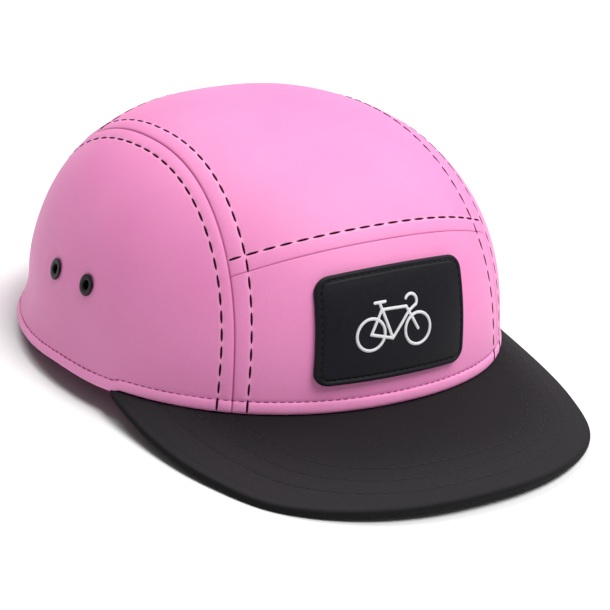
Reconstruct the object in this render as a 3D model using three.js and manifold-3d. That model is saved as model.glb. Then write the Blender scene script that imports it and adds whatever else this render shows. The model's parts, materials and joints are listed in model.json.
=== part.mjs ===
// A five-panel cap in millimetres, +Z up, front towards -Y, at rest on the plane z = 0.
// Front, top, back and two side panels are cloth walls sewn edge to edge. A stiff flat peak is sewn under
// the front of their hem, a rounded patch with a bicycle sign sits on the front panel, each side panel
// has two eyelets, and a webbing strap in a plain clasp crosses the arch in the back panel.
import * as THREE from "three";
import { mergeVertices } from "three/addons/utils/BufferGeometryUtils.js";
import Module from "manifold-3d";

const wasm = await Module();
wasm.setup();

// Neighbouring pieces are drawn this far apart.
const gap = 0.3;

// The crown's outer form. Its rim lies in the plane z = 0, and its widest point is above the origin,
// until the whole cap is tilted to rest.
const crown = {
  halfWidth: 89,
  frontReach: 95,
  backReach: 94,
  height: 90.5,
  frontFullness: 2.33, // superellipse power of the centre line's front half, seen from the side
  backFullness: 2.27,
  rimFrontFullness: 2.2, // power of the rim's front half, seen from above
  rimBackFullness: 2,
  topFullness: 2.45, // power of the section over the top, seen from the front
  wall: 1.6, // face cloth with its backing
};
// The lower edge kicks outwards at the sides and back, and its turned hem is a soft roll.
const flare = { reach: 5, fade: 8.4 };
const hem = { height: 5, puff: 0.9 };
// Front, top and back panels make a strip over the head, with a side panel on each side of it.
const strip = { halfAtFrontRim: 59.5, halfAtTop: 50.3, halfAtBackRim: 48 };
// The cross seams, as angles about the side-to-side axis from the front rim over the top.
const frontSeamAngle = 36;
const backSeamAngle = 122;
// The same angle for the top corners of the side panels' grids.
const shoulderAngle = 52;
const arch = { halfWidth: 37, depth: 50 };
const peak = {
  // How far it stands out from the rim, at shares of the way from its middle to a tip.
  reaches: [
    [0, 54.9],
    [0.25, 53.1],
    [0.45, 45.6],
    [0.6, 32.3],
    [0.75, 19.4],
    [0.88, 9.8],
    [1, 2.6],
  ],
  tipAngle: 66.4, // plan angle of each tip, from the front
  fall: 14.4, // how far the middle points down, in degrees
  sideFall: 22.6, // what that gains from the middle to the tips
  thickness: 3,
  tipThinness: 0.62, // share of the thickness that is lost towards the tips
  edgeRound: 0.9,
  edgeRoundShare: 0.4, // the most that the rounding takes of the thickness
};
const patch = {
  halfWidth: 31.6,
  middle: -2.2, // where its centre lies across the cap
  lean: 5, // of its ends, in degrees, with the top towards the wearer's left
  lowAngle: 6.8,
  highAngle: 30.6,
  corner: 5.5,
  thickness: 1.8,
  edgeRound: 0.6,
};
const eyelet = {
  radius: 4.25,
  holeRadius: 1.65,
  barrelRadius: 2.4,
  height: 0.5,
  bevel: 0.5,
  washer: 0.6, // thickness of the ring inside the cap
  washerGap: 0.5,
};
// Directions of the eyelets from the origin: plan angle from the front, and angle up from the rim.
const eyeletPlaces = [
  { name: "front", plan: 80, rise: 20.9 },
  { name: "back", plan: 94.4, rise: 20.7 },
];
const strap = { width: 20, thickness: 1.4, halfLength: 46, low: 5.5, gap: 0.4 };
const clasp = { halfWidth: 12, border: 1.5, clearance: 0.3 };

// The bicycle, flat: across, then up, from the rear wheel's hub.
const bicycle = {
  wheelRadius: 5.5,
  stroke: 1.2,
  height: 0.5,
  rearHub: [0, 0],
  frontHub: [19.7, -0.6],
  crank: [8.7, -2.4],
  seatJoint: [4.3, 8],
  seatTop: [3.7, 10.1],
  saddleBack: [1.7, 10.6],
  saddleFront: [5.9, 10.6],
  forkTop: [14.7, 7.7],
  downTubeTop: [15.8, 6],
  stemTop: [19, 7.9],
  handlebarMiddle: [16.9, 9.2],
  handlebarRadius: 2.5,
  handlebarAngles: [-38, 150],
  middle: [11.7, 3.1], // what lies over the patch's centre
};

const pink = "#ee9fd6";
const black = "#2b292c";
const materials = {
  pinkCloth: { color: pink, roughness: 0.85, metalness: 0 },
  blackCloth: { color: black, roughness: 0.8, metalness: 0 },
  blackLeather: { color: "#212227", roughness: 0.5, metalness: 0 },
  palePrint: { color: "#e8e8ea", roughness: 0.5, metalness: 0 },
  darkMetal: { color: "#322b35", roughness: 0.4, metalness: 0.8 },
  blackPlastic: { color: "#202024", roughness: 0.45, metalness: 0 },
};

const radians = THREE.MathUtils.degToRad;
const mix = THREE.MathUtils.lerp;
const point = (x, y, z) => new THREE.Vector3(x, y, z);
const range = (count, make) => Array.from({ length: count }, (_, i) => make(i));
// count + 1 even values between two ends
const steps = (from, to, count) => range(count + 1, (i) => mix(from, to, i / count));

// The value at x of a smooth curve through pairs of a place and a value. It starts out level.
function smoothCurve(pairs, x) {
  const slope = (i) => {
    if (i === 0) return 0;
    const before = pairs[i - 1];
    const after = pairs[Math.min(i + 1, pairs.length - 1)];
    return (after[1] - before[1]) / (after[0] - before[0]);
  };
  const next = Math.max(1, pairs.findIndex(([place]) => place >= x));
  const [[from, a], [to, b]] = pairs.slice(next - 1, next + 1);
  const t = (x - from) / (to - from);
  const p = slope(next - 1) * (to - from);
  const q = slope(next) * (to - from);
  return a + t * (p + t * (3 * (b - a) - 2 * p - q + t * (p + q - 2 * (b - a))));
}

// The crown's surface.

function centreLineRadius(turn) {
  const inFront = Math.cos(turn) >= 0;
  const power = inFront ? crown.frontFullness : crown.backFullness;
  const reach = inFront ? crown.frontReach : crown.backReach;
  const along = Math.abs(Math.cos(turn) / reach) ** power;
  const up = Math.abs(Math.sin(turn) / crown.height) ** power;
  return (along + up) ** (-1 / power);
}

function sectionPower(turn) {
  const atRim = Math.cos(turn) >= 0 ? crown.rimFrontFullness : crown.rimBackFullness;
  return mix(atRim, crown.topFullness, Math.sin(turn) ** 2);
}

// A place on the form before its flare: x across the cap, turn over it from the front rim.
function formPoint(x, turn) {
  const power = sectionPower(turn);
  const radius = centreLineRadius(turn) * (1 - Math.abs(x / crown.halfWidth) ** power) ** (1 / power);
  return point(x, -radius * Math.cos(turn), radius * Math.sin(turn));
}

// The form's point that lies in the same direction from the origin as p.
function ontoForm(p) {
  const turn = Math.atan2(p.z, -p.y);
  const power = sectionPower(turn);
  const across = Math.abs(p.x / crown.halfWidth) ** power;
  const along = (Math.hypot(p.y, p.z) / centreLineRadius(turn)) ** power;
  return p.clone().multiplyScalar((across + along) ** (-1 / power));
}

function surfacePoint(p) {
  const onForm = ontoForm(p);
  const spread = Math.hypot(onForm.x, onForm.y);
  const behind = (1 + onForm.y / spread) / 2;
  const scale = 1 + (flare.reach * Math.exp(-onForm.z / flare.fade) * behind) / spread;
  return onForm.multiply(point(scale, scale, 1));
}

function surfaceNormal(p) {
  const step = 1e-3;
  const outward = p.clone().normalize();
  const level = point(-outward.y, outward.x, 0).normalize();
  const upward = outward.clone().cross(level);
  const slope = (axis) => {
    const ahead = surfacePoint(outward.clone().addScaledVector(axis, step));
    return ahead.sub(surfacePoint(outward.clone().addScaledVector(axis, -step)));
  };
  return slope(level).cross(slope(upward)).normalize();
}

function offSurface(p, height) {
  return surfacePoint(p).addScaledVector(surfaceNormal(p), height);
}

const rimPoint = (plan) => surfacePoint(point(Math.sin(plan), -Math.cos(plan), 0));

// Closed geometry.

function makeGeometry(points, index) {
  const geometry = new THREE.BufferGeometry();
  const numbers = points.flatMap((p) => p.toArray());
  geometry.setAttribute("position", new THREE.Float32BufferAttribute(numbers, 3));
  geometry.setIndex(index);
  return geometry;
}

// A solid between two grids of points. Seen from outside, the outer grid's columns run to the right and
// its rows run up.
function solidBetween(outer, inner) {
  const rows = outer.length;
  const columns = outer[0].length;
  const index = [];
  const out = (i, j) => i * columns + j;
  const inn = (i, j) => (rows + i) * columns + j;
  const quad = (a, b, c, d) => index.push(a, b, c, a, c, d);
  for (let i = 0; i + 1 < rows; i++) {
    for (let j = 0; j + 1 < columns; j++) {
      quad(out(i, j), out(i, j + 1), out(i + 1, j + 1), out(i + 1, j));
      quad(inn(i, j), inn(i + 1, j), inn(i + 1, j + 1), inn(i, j + 1));
    }
  }
  for (let j = 0; j + 1 < columns; j++) {
    quad(inn(0, j), inn(0, j + 1), out(0, j + 1), out(0, j));
    quad(out(rows - 1, j), out(rows - 1, j + 1), inn(rows - 1, j + 1), inn(rows - 1, j));
  }
  for (let i = 0; i + 1 < rows; i++) {
    quad(out(i, 0), out(i + 1, 0), inn(i + 1, 0), inn(i, 0));
    quad(out(i + 1, columns - 1), out(i, columns - 1), inn(i, columns - 1), inn(i + 1, columns - 1));
  }
  return makeGeometry([...outer.flat(), ...inner.flat()], index);
}

// A solid of rings of points, each running anticlockwise as seen from the last ring's side. The ends are
// capped about the two end points, and without them the last ring joins the first.
function solidOfRings(rings, ends = []) {
  const count = rings[0].length;
  const links = rings.length - (ends.length ? 1 : 0);
  const at = (i, j) => (i % rings.length) * count + (j % count);
  const index = [];
  for (let i = 0; i < links; i++) {
    for (let j = 0; j < count; j++) {
      index.push(at(i, j), at(i, j + 1), at(i + 1, j + 1), at(i, j), at(i + 1, j + 1), at(i + 1, j));
    }
  }
  if (ends.length) {
    const first = rings.length * count;
    const last = rings.length - 1;
    for (let j = 0; j < count; j++) {
      index.push(first, at(0, j + 1), at(0, j), first + 1, at(last, j), at(last, j + 1));
    }
  }
  return makeGeometry([...rings.flat(), ...ends], index);
}

function toManifold(geometry) {
  const bare = geometry.clone();
  bare.deleteAttribute("normal");
  bare.deleteAttribute("uv");
  const merged = mergeVertices(bare, 1e-3);
  const vertProperties = new Float32Array(merged.attributes.position.array);
  const triVerts = new Uint32Array(merged.index.array);
  return new wasm.Manifold(new wasm.Mesh({ numProp: 3, vertProperties, triVerts }));
}

function toGeometry(manifold) {
  const { vertProperties, triVerts } = manifold.getMesh();
  const geometry = new THREE.BufferGeometry();
  geometry.setAttribute("position", new THREE.BufferAttribute(vertProperties, 3));
  geometry.setIndex(new THREE.BufferAttribute(triVerts, 1));
  return geometry;
}

// Cloth panels, from grids of points on the form.

function hemPuff(fromEdge) {
  return fromEdge < hem.height ? hem.puff * Math.sin((Math.PI * Math.max(0, fromEdge)) / hem.height) : 0;
}

function panelWall(grid, fromEdge = (p) => p.z) {
  const wall = (offset) =>
    grid.map((row) =>
      row.map((p) => {
        const surface = surfacePoint(p);
        const normal = surfaceNormal(p);
        if (surface.z < 1e-6) normal.setZ(0).normalize();
        return surface.addScaledVector(normal, offset(surface));
      }),
    );
  return solidBetween(
    wall((p) => hemPuff(fromEdge(p))),
    wall(() => -crown.wall),
  );
}

// Heights above the rim where a panel's rows follow its hem and its flare.
const lowHeights = [0, hem.height / 2, hem.height, 9, 14, 20];

// Turns from one rim, along the low heights, and then evenly to another turn.
function turnsFromRim(rimTurn, toTurn, evenRows) {
  const sense = Math.sign(toTurn - rimTurn);
  const low = lowHeights.map((height) => rimTurn + (sense * height) / crown.frontReach);
  return [...low, ...steps(low.at(-1), toTurn, evenRows).slice(1)];
}

function seamHalfWidth(turn) {
  const atRim = Math.cos(turn) >= 0 ? strip.halfAtFrontRim : strip.halfAtBackRim;
  return mix(strip.halfAtTop, atRim, Math.cos(turn) ** 2);
}

// The strip's edge on one side, and the side panel's edge that faces it.
const stripEdge = (side, turn) => formPoint(side * (seamHalfWidth(turn) - gap / 2), turn);
const sideEdge = (side, turn) => formPoint(side * (seamHalfWidth(turn) + gap / 2), turn);

function acrossStrip(turns, columns) {
  return turns.map((turn) => {
    const edge = stripEdge(1, turn).x;
    return steps(-edge, edge, columns).map((x) => formPoint(x, turn));
  });
}

const halfGapTurn = gap / 2 / crown.height;
const frontSeamTurn = radians(frontSeamAngle);
const backSeamTurn = radians(backSeamAngle);

function frontPanel() {
  const [evenRows, columns] = [5, 20];
  return panelWall(acrossStrip(turnsFromRim(0, frontSeamTurn - halfGapTurn, evenRows), columns));
}

function topPanel() {
  const [rows, columns] = [14, 16];
  const turns = steps(frontSeamTurn + halfGapTurn, backSeamTurn - halfGapTurn, rows);
  return panelWall(acrossStrip(turns, columns));
}

// The back panel's edge along its seams, and the edge of its arch, both from the wearer's left foot over
// to the right one with as many points.
const backRisingRows = 6;
const backTopColumns = 10;

function backSeamEdge() {
  const turns = turnsFromRim(Math.PI, backSeamTurn + halfGapTurn, backRisingRows);
  const top = stripEdge(1, turns.at(-1)).x;
  const across = steps(top, -top, backTopColumns).slice(1, -1);
  return [
    ...turns.map((turn) => stripEdge(1, turn)),
    ...across.map((x) => formPoint(x, turns.at(-1))),
    ...turns.map((turn) => stripEdge(-1, turn)).reverse(),
  ];
}

function archEdge() {
  const lowTurns = lowHeights.map((height) => Math.asin(height / arch.depth));
  const between = steps(lowTurns.at(-1), Math.PI - lowTurns.at(-1), 2 * backRisingRows + backTopColumns);
  const turns = [...lowTurns, ...between.slice(1, -1), ...lowTurns.map((turn) => Math.PI - turn).reverse()];
  return turns.map((turn) => {
    return ontoForm(point(arch.halfWidth * Math.cos(turn), crown.backReach, arch.depth * Math.sin(turn)));
  });
}

function backPanel() {
  const low = archEdge();
  const high = backSeamEdge();
  const evenRows = 5;
  const rowAt = (i) =>
    low.map((from, j) => {
      const length = from.distanceTo(high[j]);
      const hemShare = hem.height / length;
      const shares = [0, hemShare / 2, ...steps(hemShare, 1, evenRows)];
      return i === shares.length - 1 ? high[j] : from.clone().lerp(high[j], shares[i]);
    });
  const edge = low.map(surfacePoint);
  const fromEdge = (p) => Math.min(p.z, ...edge.map((q) => q.distanceTo(p)));
  return panelWall(range(evenRows + 3, rowAt), fromEdge);
}

// A side panel's grid is blended from its four edges: the rim, and the seam's front, top and back.
function sidePanel(side) {
  const shoulder = radians(shoulderAngle);
  const [evenRows, columns] = [7, 18];
  const planOf = (p) => Math.atan2(Math.abs(p.x), -p.y);
  const fromPlan = planOf(sideEdge(side, 0));
  const toPlan = planOf(sideEdge(side, Math.PI));
  const rim = (u) => {
    const plan = mix(fromPlan, toPlan, u);
    return ontoForm(point(side * Math.sin(plan), -Math.cos(plan), 0));
  };
  const top = (u) => sideEdge(side, mix(shoulder, Math.PI - shoulder, u));
  const rising = turnsFromRim(0, shoulder, evenRows);
  const grid = rising.map((turn) => {
    const v = turn / shoulder;
    return steps(0, 1, columns).map((u) => {
      const p = rim(u).multiplyScalar(1 - v).addScaledVector(top(u), v);
      p.addScaledVector(sideEdge(side, turn), 1 - u).addScaledVector(sideEdge(side, Math.PI - turn), u);
      p.addScaledVector(rim(0), -(1 - u) * (1 - v)).addScaledVector(rim(1), -u * (1 - v));
      return p.addScaledVector(top(0), -(1 - u) * v).addScaledVector(top(1), -u * v);
    });
  });
  if (side < 0) grid.forEach((row) => row.reverse());
  return panelWall(grid);
}

// Eyelets, turned about the surface's normal, and the holes that they need in the wall.

function eyeletDirection({ plan, rise }, side) {
  const a = radians(plan);
  const e = radians(rise);
  return point(side * Math.sin(a) * Math.cos(e), -Math.cos(a) * Math.cos(e), Math.sin(e));
}

function standOnSurface(geometry, direction) {
  const turn = new THREE.Quaternion().setFromUnitVectors(point(0, 1, 0), surfaceNormal(direction));
  return geometry.applyQuaternion(turn).translate(...surfacePoint(direction));
}

const eyeletSides = 16;

function eyeletRing(direction) {
  const { radius, holeRadius, barrelRadius, height, bevel, washer, washerGap } = eyelet;
  const inside = -crown.wall - washerGap;
  const profile = [
    [holeRadius, inside - washer],
    [radius - 2 * bevel, inside - washer],
    [radius - bevel, inside],
    [barrelRadius, inside],
    [barrelRadius, gap],
    [radius, gap],
    [radius - bevel, gap + height],
    [holeRadius + bevel, gap + height],
    [holeRadius, gap + height - bevel],
    [holeRadius, inside - washer],
  ];
  const outline = profile.map(([r, h]) => new THREE.Vector2(r, h));
  return standOnSurface(new THREE.LatheGeometry(outline, eyeletSides), direction);
}

function punched(geometry, directions) {
  const radius = eyelet.barrelRadius + gap;
  const length = 6 * crown.wall;
  let wall = toManifold(geometry);
  for (const direction of directions) {
    const punch = new THREE.CylinderGeometry(radius, radius, length, eyeletSides);
    wall = wall.subtract(toManifold(standOnSurface(punch, direction)));
  }
  return toGeometry(wall);
}

// The peak: rays out from the rim, falling more steeply and getting thinner towards the tips.

function peakRay(share) {
  const plan = share * radians(peak.tipAngle);
  const step = 1e-3;
  const along = rimPoint(plan + step).sub(rimPoint(plan - step));
  return {
    root: rimPoint(plan),
    outward: point(along.y, -along.x, 0).normalize(),
    length: smoothCurve(peak.reaches, Math.abs(share)),
    fall: radians(peak.fall + peak.sideFall * share ** 2),
    thickness: peak.thickness * (1 - peak.tipThinness * share ** 4),
  };
}

function onRay({ root, outward, fall }, distance, depth) {
  const beyond = Math.max(0, distance);
  const level = Math.min(0, distance) + beyond * Math.cos(fall);
  const p = root.clone().addScaledVector(outward, level);
  return p.setZ(-gap - depth - beyond * Math.sin(fall));
}

function peakSolid() {
  const [rayCount, evenRows] = [44, 4];
  const rays = steps(-1, 1, rayCount).map(peakRay);
  const face = (depthShare) =>
    rays.map((ray) => {
      const round = Math.min(peak.edgeRound, ray.length / 2, ray.thickness * peak.edgeRoundShare);
      const distances = [-crown.wall, ...steps(0, ray.length - round, evenRows)];
      const depth = ray.thickness * depthShare;
      const edgeDepth = mix(round, ray.thickness - round, depthShare);
      return [...distances.map((d) => onRay(ray, d, depth)), onRay(ray, ray.length, edgeDepth)];
    });
  return solidBetween(face(0), face(1));
}

// The patch and its sign are drawn flat, across and up from the patch's centre, and laid on the front.

const patchLow = formPoint(0, radians(patch.lowAngle));
const patchHigh = formPoint(0, radians(patch.highAngle));
const patchHalfHeight = patchLow.distanceTo(patchHigh) / 2;

function onFront(across, up, height) {
  const share = (up / patchHalfHeight + 1) / 2;
  const turn = radians(mix(patch.lowAngle, patch.highAngle, share));
  const x = patch.middle + across + up * Math.tan(radians(patch.lean));
  return offSurface(formPoint(x, turn), height);
}

function roundedRectangle(halfWidth, halfHeight, corner, count) {
  const shape = new THREE.Shape();
  const [right, top] = [halfWidth - corner, halfHeight - corner];
  shape.absarc(right, top, corner, 0, Math.PI / 2);
  shape.absarc(-right, top, corner, Math.PI / 2, Math.PI);
  shape.absarc(-right, -top, corner, Math.PI, 1.5 * Math.PI);
  shape.absarc(right, -top, corner, 1.5 * Math.PI, 2 * Math.PI);
  shape.closePath();
  return shape.getSpacedPoints(count).slice(0, count);
}

function patchSolid() {
  const { halfWidth, corner, thickness, edgeRound } = patch;
  const outlinePoints = 48;
  const ring = (share, inset, height) => {
    const halves = [halfWidth - inset, patchHalfHeight - inset];
    const outline = roundedRectangle(...halves, corner - inset, outlinePoints);
    return outline.map((p) => onFront(p.x * share, p.y * share, gap + height));
  };
  const shares = [0.35, 0.7, 1]; // rings that keep the faces on the curve of the front
  const rings = [
    ...shares.map((share) => ring(share, 0, 0)),
    ring(1, 0, thickness - edgeRound),
    ...shares.toReversed().map((share) => ring(share, edgeRound, thickness)),
  ];
  return solidOfRings(rings, [onFront(0, 0, gap), onFront(0, 0, gap + thickness)]);
}

// A bar of square section over the patch, along flat points.
function barOverPatch(flat, closed) {
  const low = 2 * gap + patch.thickness;
  const high = low + bicycle.height;
  const half = bicycle.stroke / 2;
  const [acrossMiddle, upMiddle] = bicycle.middle;
  const rings = flat.map((here, i) => {
    const before = flat.at(closed ? i - 1 : Math.max(0, i - 1));
    const after = flat[closed ? (i + 1) % flat.length : Math.min(flat.length - 1, i + 1)];
    const side = after.clone().sub(before).normalize().multiplyScalar(half);
    const corner = (sense, height) => {
      const across = here.x + sense * side.y - acrossMiddle;
      const up = here.y - sense * side.x - upMiddle;
      return onFront(across, up, height);
    };
    return [corner(-1, low), corner(-1, high), corner(1, high), corner(1, low)];
  });
  const ends = closed ? [] : [rings[0], rings.at(-1)].map(([a, , b]) => a.clone().lerp(b, 0.5));
  return toManifold(solidOfRings(rings, ends));
}

function straightBar(from, to) {
  const longest = 6; // of the lengths that follow the curve of the front
  const start = new THREE.Vector2(...from);
  const end = new THREE.Vector2(...to);
  const count = Math.ceil(start.distanceTo(end) / longest);
  return barOverPatch(range(count + 1, (i) => start.clone().lerp(end, i / count)), false);
}

function wheel([x, y]) {
  const sides = 20;
  const outline = new THREE.EllipseCurve(x, y, bicycle.wheelRadius, bicycle.wheelRadius).getPoints(sides);
  return barOverPatch(outline.slice(0, sides), true);
}

function handlebar() {
  const { handlebarMiddle, handlebarRadius, handlebarAngles } = bicycle;
  const sides = 8;
  const [x, y] = handlebarMiddle;
  const [from, to] = handlebarAngles.map(radians);
  const curve = new THREE.EllipseCurve(x, y, handlebarRadius, handlebarRadius, from, to);
  return barOverPatch(curve.getPoints(sides), false);
}

function bicycleSign() {
  const { rearHub, frontHub, crank, seatJoint, seatTop } = bicycle;
  const { saddleBack, saddleFront, forkTop, downTubeTop, stemTop } = bicycle;
  const bars = [
    wheel(rearHub),
    wheel(frontHub),
    handlebar(),
    straightBar(rearHub, crank),
    straightBar(rearHub, seatJoint),
    straightBar(crank, seatTop),
    straightBar(seatJoint, forkTop),
    straightBar(crank, downTubeTop),
    straightBar(frontHub, forkTop),
    straightBar(downTubeTop, stemTop),
    straightBar(saddleBack, saddleFront),
  ];
  return toGeometry(bars.reduce((sum, bar) => sum.add(bar)));
}

// The strap lies inside the arch's feet, and the clasp is a flat sleeve round its middle.

function band(halfLength, [low, high], [outerDepth, innerDepth], columns) {
  const rows = 6;
  const face = (depth) =>
    steps(low, high, rows).map((up) =>
      steps(halfLength, -halfLength, columns).map((across) => {
        return offSurface(point(across, crown.backReach, up), -depth);
      }),
    );
  return solidBetween(face(outerDepth), face(innerDepth));
}

const strapDepth = crown.wall + strap.gap;

function strapSolid() {
  const { halfLength, low, width, thickness } = strap;
  const columns = 20;
  return band(halfLength, [low, low + width], [strapDepth, strapDepth + thickness], columns);
}

function claspSolid() {
  const { halfWidth, border, clearance } = clasp;
  const { low, width, thickness } = strap;
  const columns = 6;
  const shell = (halfLength, around) => {
    const heights = [low - around, low + width + around];
    const depths = [strapDepth - around, strapDepth + thickness + around];
    return toManifold(band(halfLength, heights, depths, columns));
  };
  return toGeometry(shell(halfWidth, clearance + border).subtract(shell(2 * halfWidth, clearance)));
}

function addMesh(parent, name, geometry, material) {
  geometry.computeVertexNormals();
  const mesh = new THREE.Mesh(geometry, new THREE.MeshStandardMaterial(materials[material]));
  mesh.name = name;
  parent.add(mesh);
  return mesh;
}

const cap = new THREE.Group();
addMesh(cap, "front_panel", frontPanel(), "pinkCloth");
addMesh(cap, "top_panel", topPanel(), "pinkCloth");
addMesh(cap, "back_panel", backPanel(), "pinkCloth");
for (const [sideName, side] of Object.entries({ right: -1, left: 1 })) {
  const directions = eyeletPlaces.map((place) => eyeletDirection(place, side));
  addMesh(cap, `side_panel_${sideName}`, punched(sidePanel(side), directions), "pinkCloth");
  eyeletPlaces.forEach((place, i) => {
    addMesh(cap, `eyelet_${sideName}_${place.name}`, eyeletRing(directions[i]), "darkMetal");
  });
}
const peakMesh = addMesh(cap, "peak", peakSolid(), "blackCloth");
addMesh(cap, "patch", patchSolid(), "blackLeather");
addMesh(cap, "patch_sign", bicycleSign(), "palePrint");
addMesh(cap, "back_strap", strapSolid(), "blackCloth");
addMesh(cap, "strap_clasp", claspSolid(), "blackPlastic");

// At rest the cap stands on the arch's feet and the peak's lowest edge: it leans back until the line from
// the feet along the peak's underside is level.
function restTilt() {
  const foot = rimPoint(Math.PI - Math.atan2(arch.halfWidth, crown.backReach));
  const corners = peakMesh.geometry.attributes.position;
  const angles = range(corners.count, (i) => Math.atan2(-corners.getZ(i), foot.y - corners.getY(i)));
  return Math.max(...angles);
}

// The origin is the middle of the cap's footprint on the surface.
cap.rotation.x = -restTilt();
const box = new THREE.Box3().setFromObject(cap, true);
cap.position.set(0, -(box.min.y + box.max.y) / 2, -box.min.z);

const atRest = new THREE.Group();
atRest.add(cap);

export default atRest;
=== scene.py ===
import json
import math

import bmesh
import bpy
import numpy as np
from mathutils import Matrix, kdtree


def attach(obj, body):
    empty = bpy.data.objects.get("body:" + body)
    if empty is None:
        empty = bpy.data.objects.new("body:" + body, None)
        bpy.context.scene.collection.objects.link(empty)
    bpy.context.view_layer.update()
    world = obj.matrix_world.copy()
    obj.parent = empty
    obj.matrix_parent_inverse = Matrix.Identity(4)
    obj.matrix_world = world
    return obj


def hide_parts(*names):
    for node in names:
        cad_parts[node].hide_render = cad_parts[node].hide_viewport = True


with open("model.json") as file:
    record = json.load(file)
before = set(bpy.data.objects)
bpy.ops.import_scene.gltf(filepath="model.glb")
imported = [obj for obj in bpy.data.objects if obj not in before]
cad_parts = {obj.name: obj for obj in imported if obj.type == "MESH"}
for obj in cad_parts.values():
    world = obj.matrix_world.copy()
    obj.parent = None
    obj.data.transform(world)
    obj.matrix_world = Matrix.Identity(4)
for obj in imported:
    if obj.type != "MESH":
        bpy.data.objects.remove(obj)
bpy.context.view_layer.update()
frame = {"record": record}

# A five-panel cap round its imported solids. Lengths are in millimetres and places are in the cap's own
# frame (rim plane z = 0, front towards -Y) until to_row puts them, in metres, where the cap rests.

GAP = 0.3
HALF_WIDTH = 89
FRONT_REACH, BACK_REACH, HEIGHT = 95, 94, 90.5
FRONT_FULLNESS, BACK_FULLNESS = 2.33, 2.27
RIM_FRONT_FULLNESS, RIM_BACK_FULLNESS, TOP_FULLNESS = 2.2, 2.0, 2.45
WALL = 1.6
# How far the lower edge kicks out at the back, and the height over which that fades.
FLARE_REACH, FLARE_FADE = 5, 8.4
# How far behind, from 0 at the front to 1 at the back, and the hem's height there.
HEM_PLACES, HEM_HEIGHTS = (0.05, 0.3, 0.55, 0.8), (5, 4.2, 3.8, 3.2)
HEM_BEHIND, HEM_PUFF, HEM_PUFF_LOSS = 3.2, 0.5, 0.2
# Behind the ears the cloth is drawn in by so much, round a height, before its edge kicks out.
FLARE_LATENESS, LATE_HEIGHT, LATE_SPREAD = 1.2, 14, 9
# Plan angles from the front, in degrees, between which the hem comes to hang lower and goes back.
HEM_SLACK, SLACK_FROM, SLACK_TO, SLACK_TOP = 1.5, (65.4, 67.6), (71, 90), 11
# The seams lie this far to the wearer's right over the top, coming to it between two heights.
STRIP_SHIFT, SHIFT_HEIGHTS = 0.7, (25, 75)
SEAM_AT_FRONT_RIM, SEAM_AT_TOP, SEAM_AT_BACK_RIM = 59.5, 50.3, 48
FRONT_SEAM, BACK_SEAM = math.radians(36), math.radians(122)
ARCH_HALF_WIDTH, ARCH_DEPTH = 37, 50
SHOULDER = math.radians(52)

# How far the peak stands out from the rim, at shares of the way from its middle to a tip.
PEAK_SHARES = np.array([0, 0.25, 0.45, 0.6, 0.75, 0.88, 1])
PEAK_REACHES = np.array([54.9, 53.1, 45.6, 32.3, 19.4, 9.8, 2.6])
PEAK_TIP_ANGLE = math.radians(66.4)
PEAK_FALL, PEAK_SIDE_FALL = math.radians(14.4), math.radians(22.6)
PEAK_THICKNESS, PEAK_TIP_THINNESS = 3, 0.62

PATCH_HALF_WIDTH, PATCH_CORNER, PATCH_THICKNESS = 31.6, 5.5, 1.8
PATCH_MIDDLE, PATCH_LEAN = -2.2, math.radians(5)
PATCH_LOW, PATCH_HIGH = math.radians(6.8), math.radians(30.6)

EYELET_RADIUS, EYELET_HOLE, EYELET_BARREL, EYELET_HEIGHT = 4.05, 1.8, 2.4, 0.4
EYELET_SLANT = -0.07
EYELETS = {"front": np.radians((80, 20.9)), "back": np.radians((94.4, 20.7))}

STRAP_WIDTH, STRAP_THICKNESS, STRAP_HALF_LENGTH, STRAP_LOW, STRAP_GAP = 20, 1.4, 46, 5.5, 0.4
CLASP_HALF_WIDTH, CLASP_BORDER, CLASP_CLEARANCE = 12, 1.5, 0.3

# Half the distance between two panels' edges at a seam.
SEAM_CLEARANCE = 0.02
# Distances of the stitch rows from their seams: on the side panel and on the strip, at turns over the
# crown in degrees, and beside the cross seams. On the left the strip's row lies further in over the top.
ROW_TURNS = (0, 20, 38, 60, 90, 122, 180)
OUTER_ROW = (5.4, 4.6, 4.4, 4.8, 5.4, 6.3, 5.6)
INNER_ROW = (5.4, 6.1, 6.8, 6.2, 5.9, 5.8, 5.8)
LEFT_INNER_EXTRA = 1.1
CROSS_ROW, CROSS_ROW_SHORTER, FRONT_ROW_LIFT = 5.7, 0.2, 1.2
# Pitch, length, width and height of the stitches of each kind of row.
STITCH_PITCH = 6.3
TOPSTITCH = (STITCH_PITCH, 4.9, 0.84, 0.5)
HEM_STITCH = (2.9, 1.9, 0.5, 0.34)
PEAK_STITCH = (4.2, 3.1, 0.42, 0.24)
PATCH_STITCH = (2.7, 2.0, 0.45, 0.3)
# How high the stitches lie over the cloth, and how unevenly the hem's do.
TOPSTITCH_LIFT, HEM_STITCH_LIFT, HEM_STITCH_UNEVENNESS, PATCH_STITCH_LIFT = 0.1, 0.02, 0.14, 0.16

# Where the hem's underside says that the cap stands.
hem_mount = frame["record"]["mounts"][0]
rise = -np.array(hem_mount["axis"])
rise /= np.linalg.norm(rise)
CAP_TURN = np.array([[1, 0, 0], [0, rise[2], rise[1]], [0, -rise[1], rise[2]]])
CAP_PLACE = np.array([0, hem_mount["pos_m"][1], hem_mount["pos_m"][2]])


def to_row(points):
    return np.asarray(points) @ CAP_TURN.T / 1000 + CAP_PLACE


def unit(v):
    return v / np.maximum(np.linalg.norm(v, axis=-1, keepdims=True), 1e-12)


def vectors(x, y, z):
    return np.stack(np.broadcast_arrays(x, y, z), -1).astype(float)


def dip(distance, width):
    return np.exp(-((distance / width) ** 2))


def smooth(low, high, x):
    t = np.clip((x - low) / (high - low), 0, 1)
    return t * t * (3 - 2 * t)


# The crown's surface.

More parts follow.
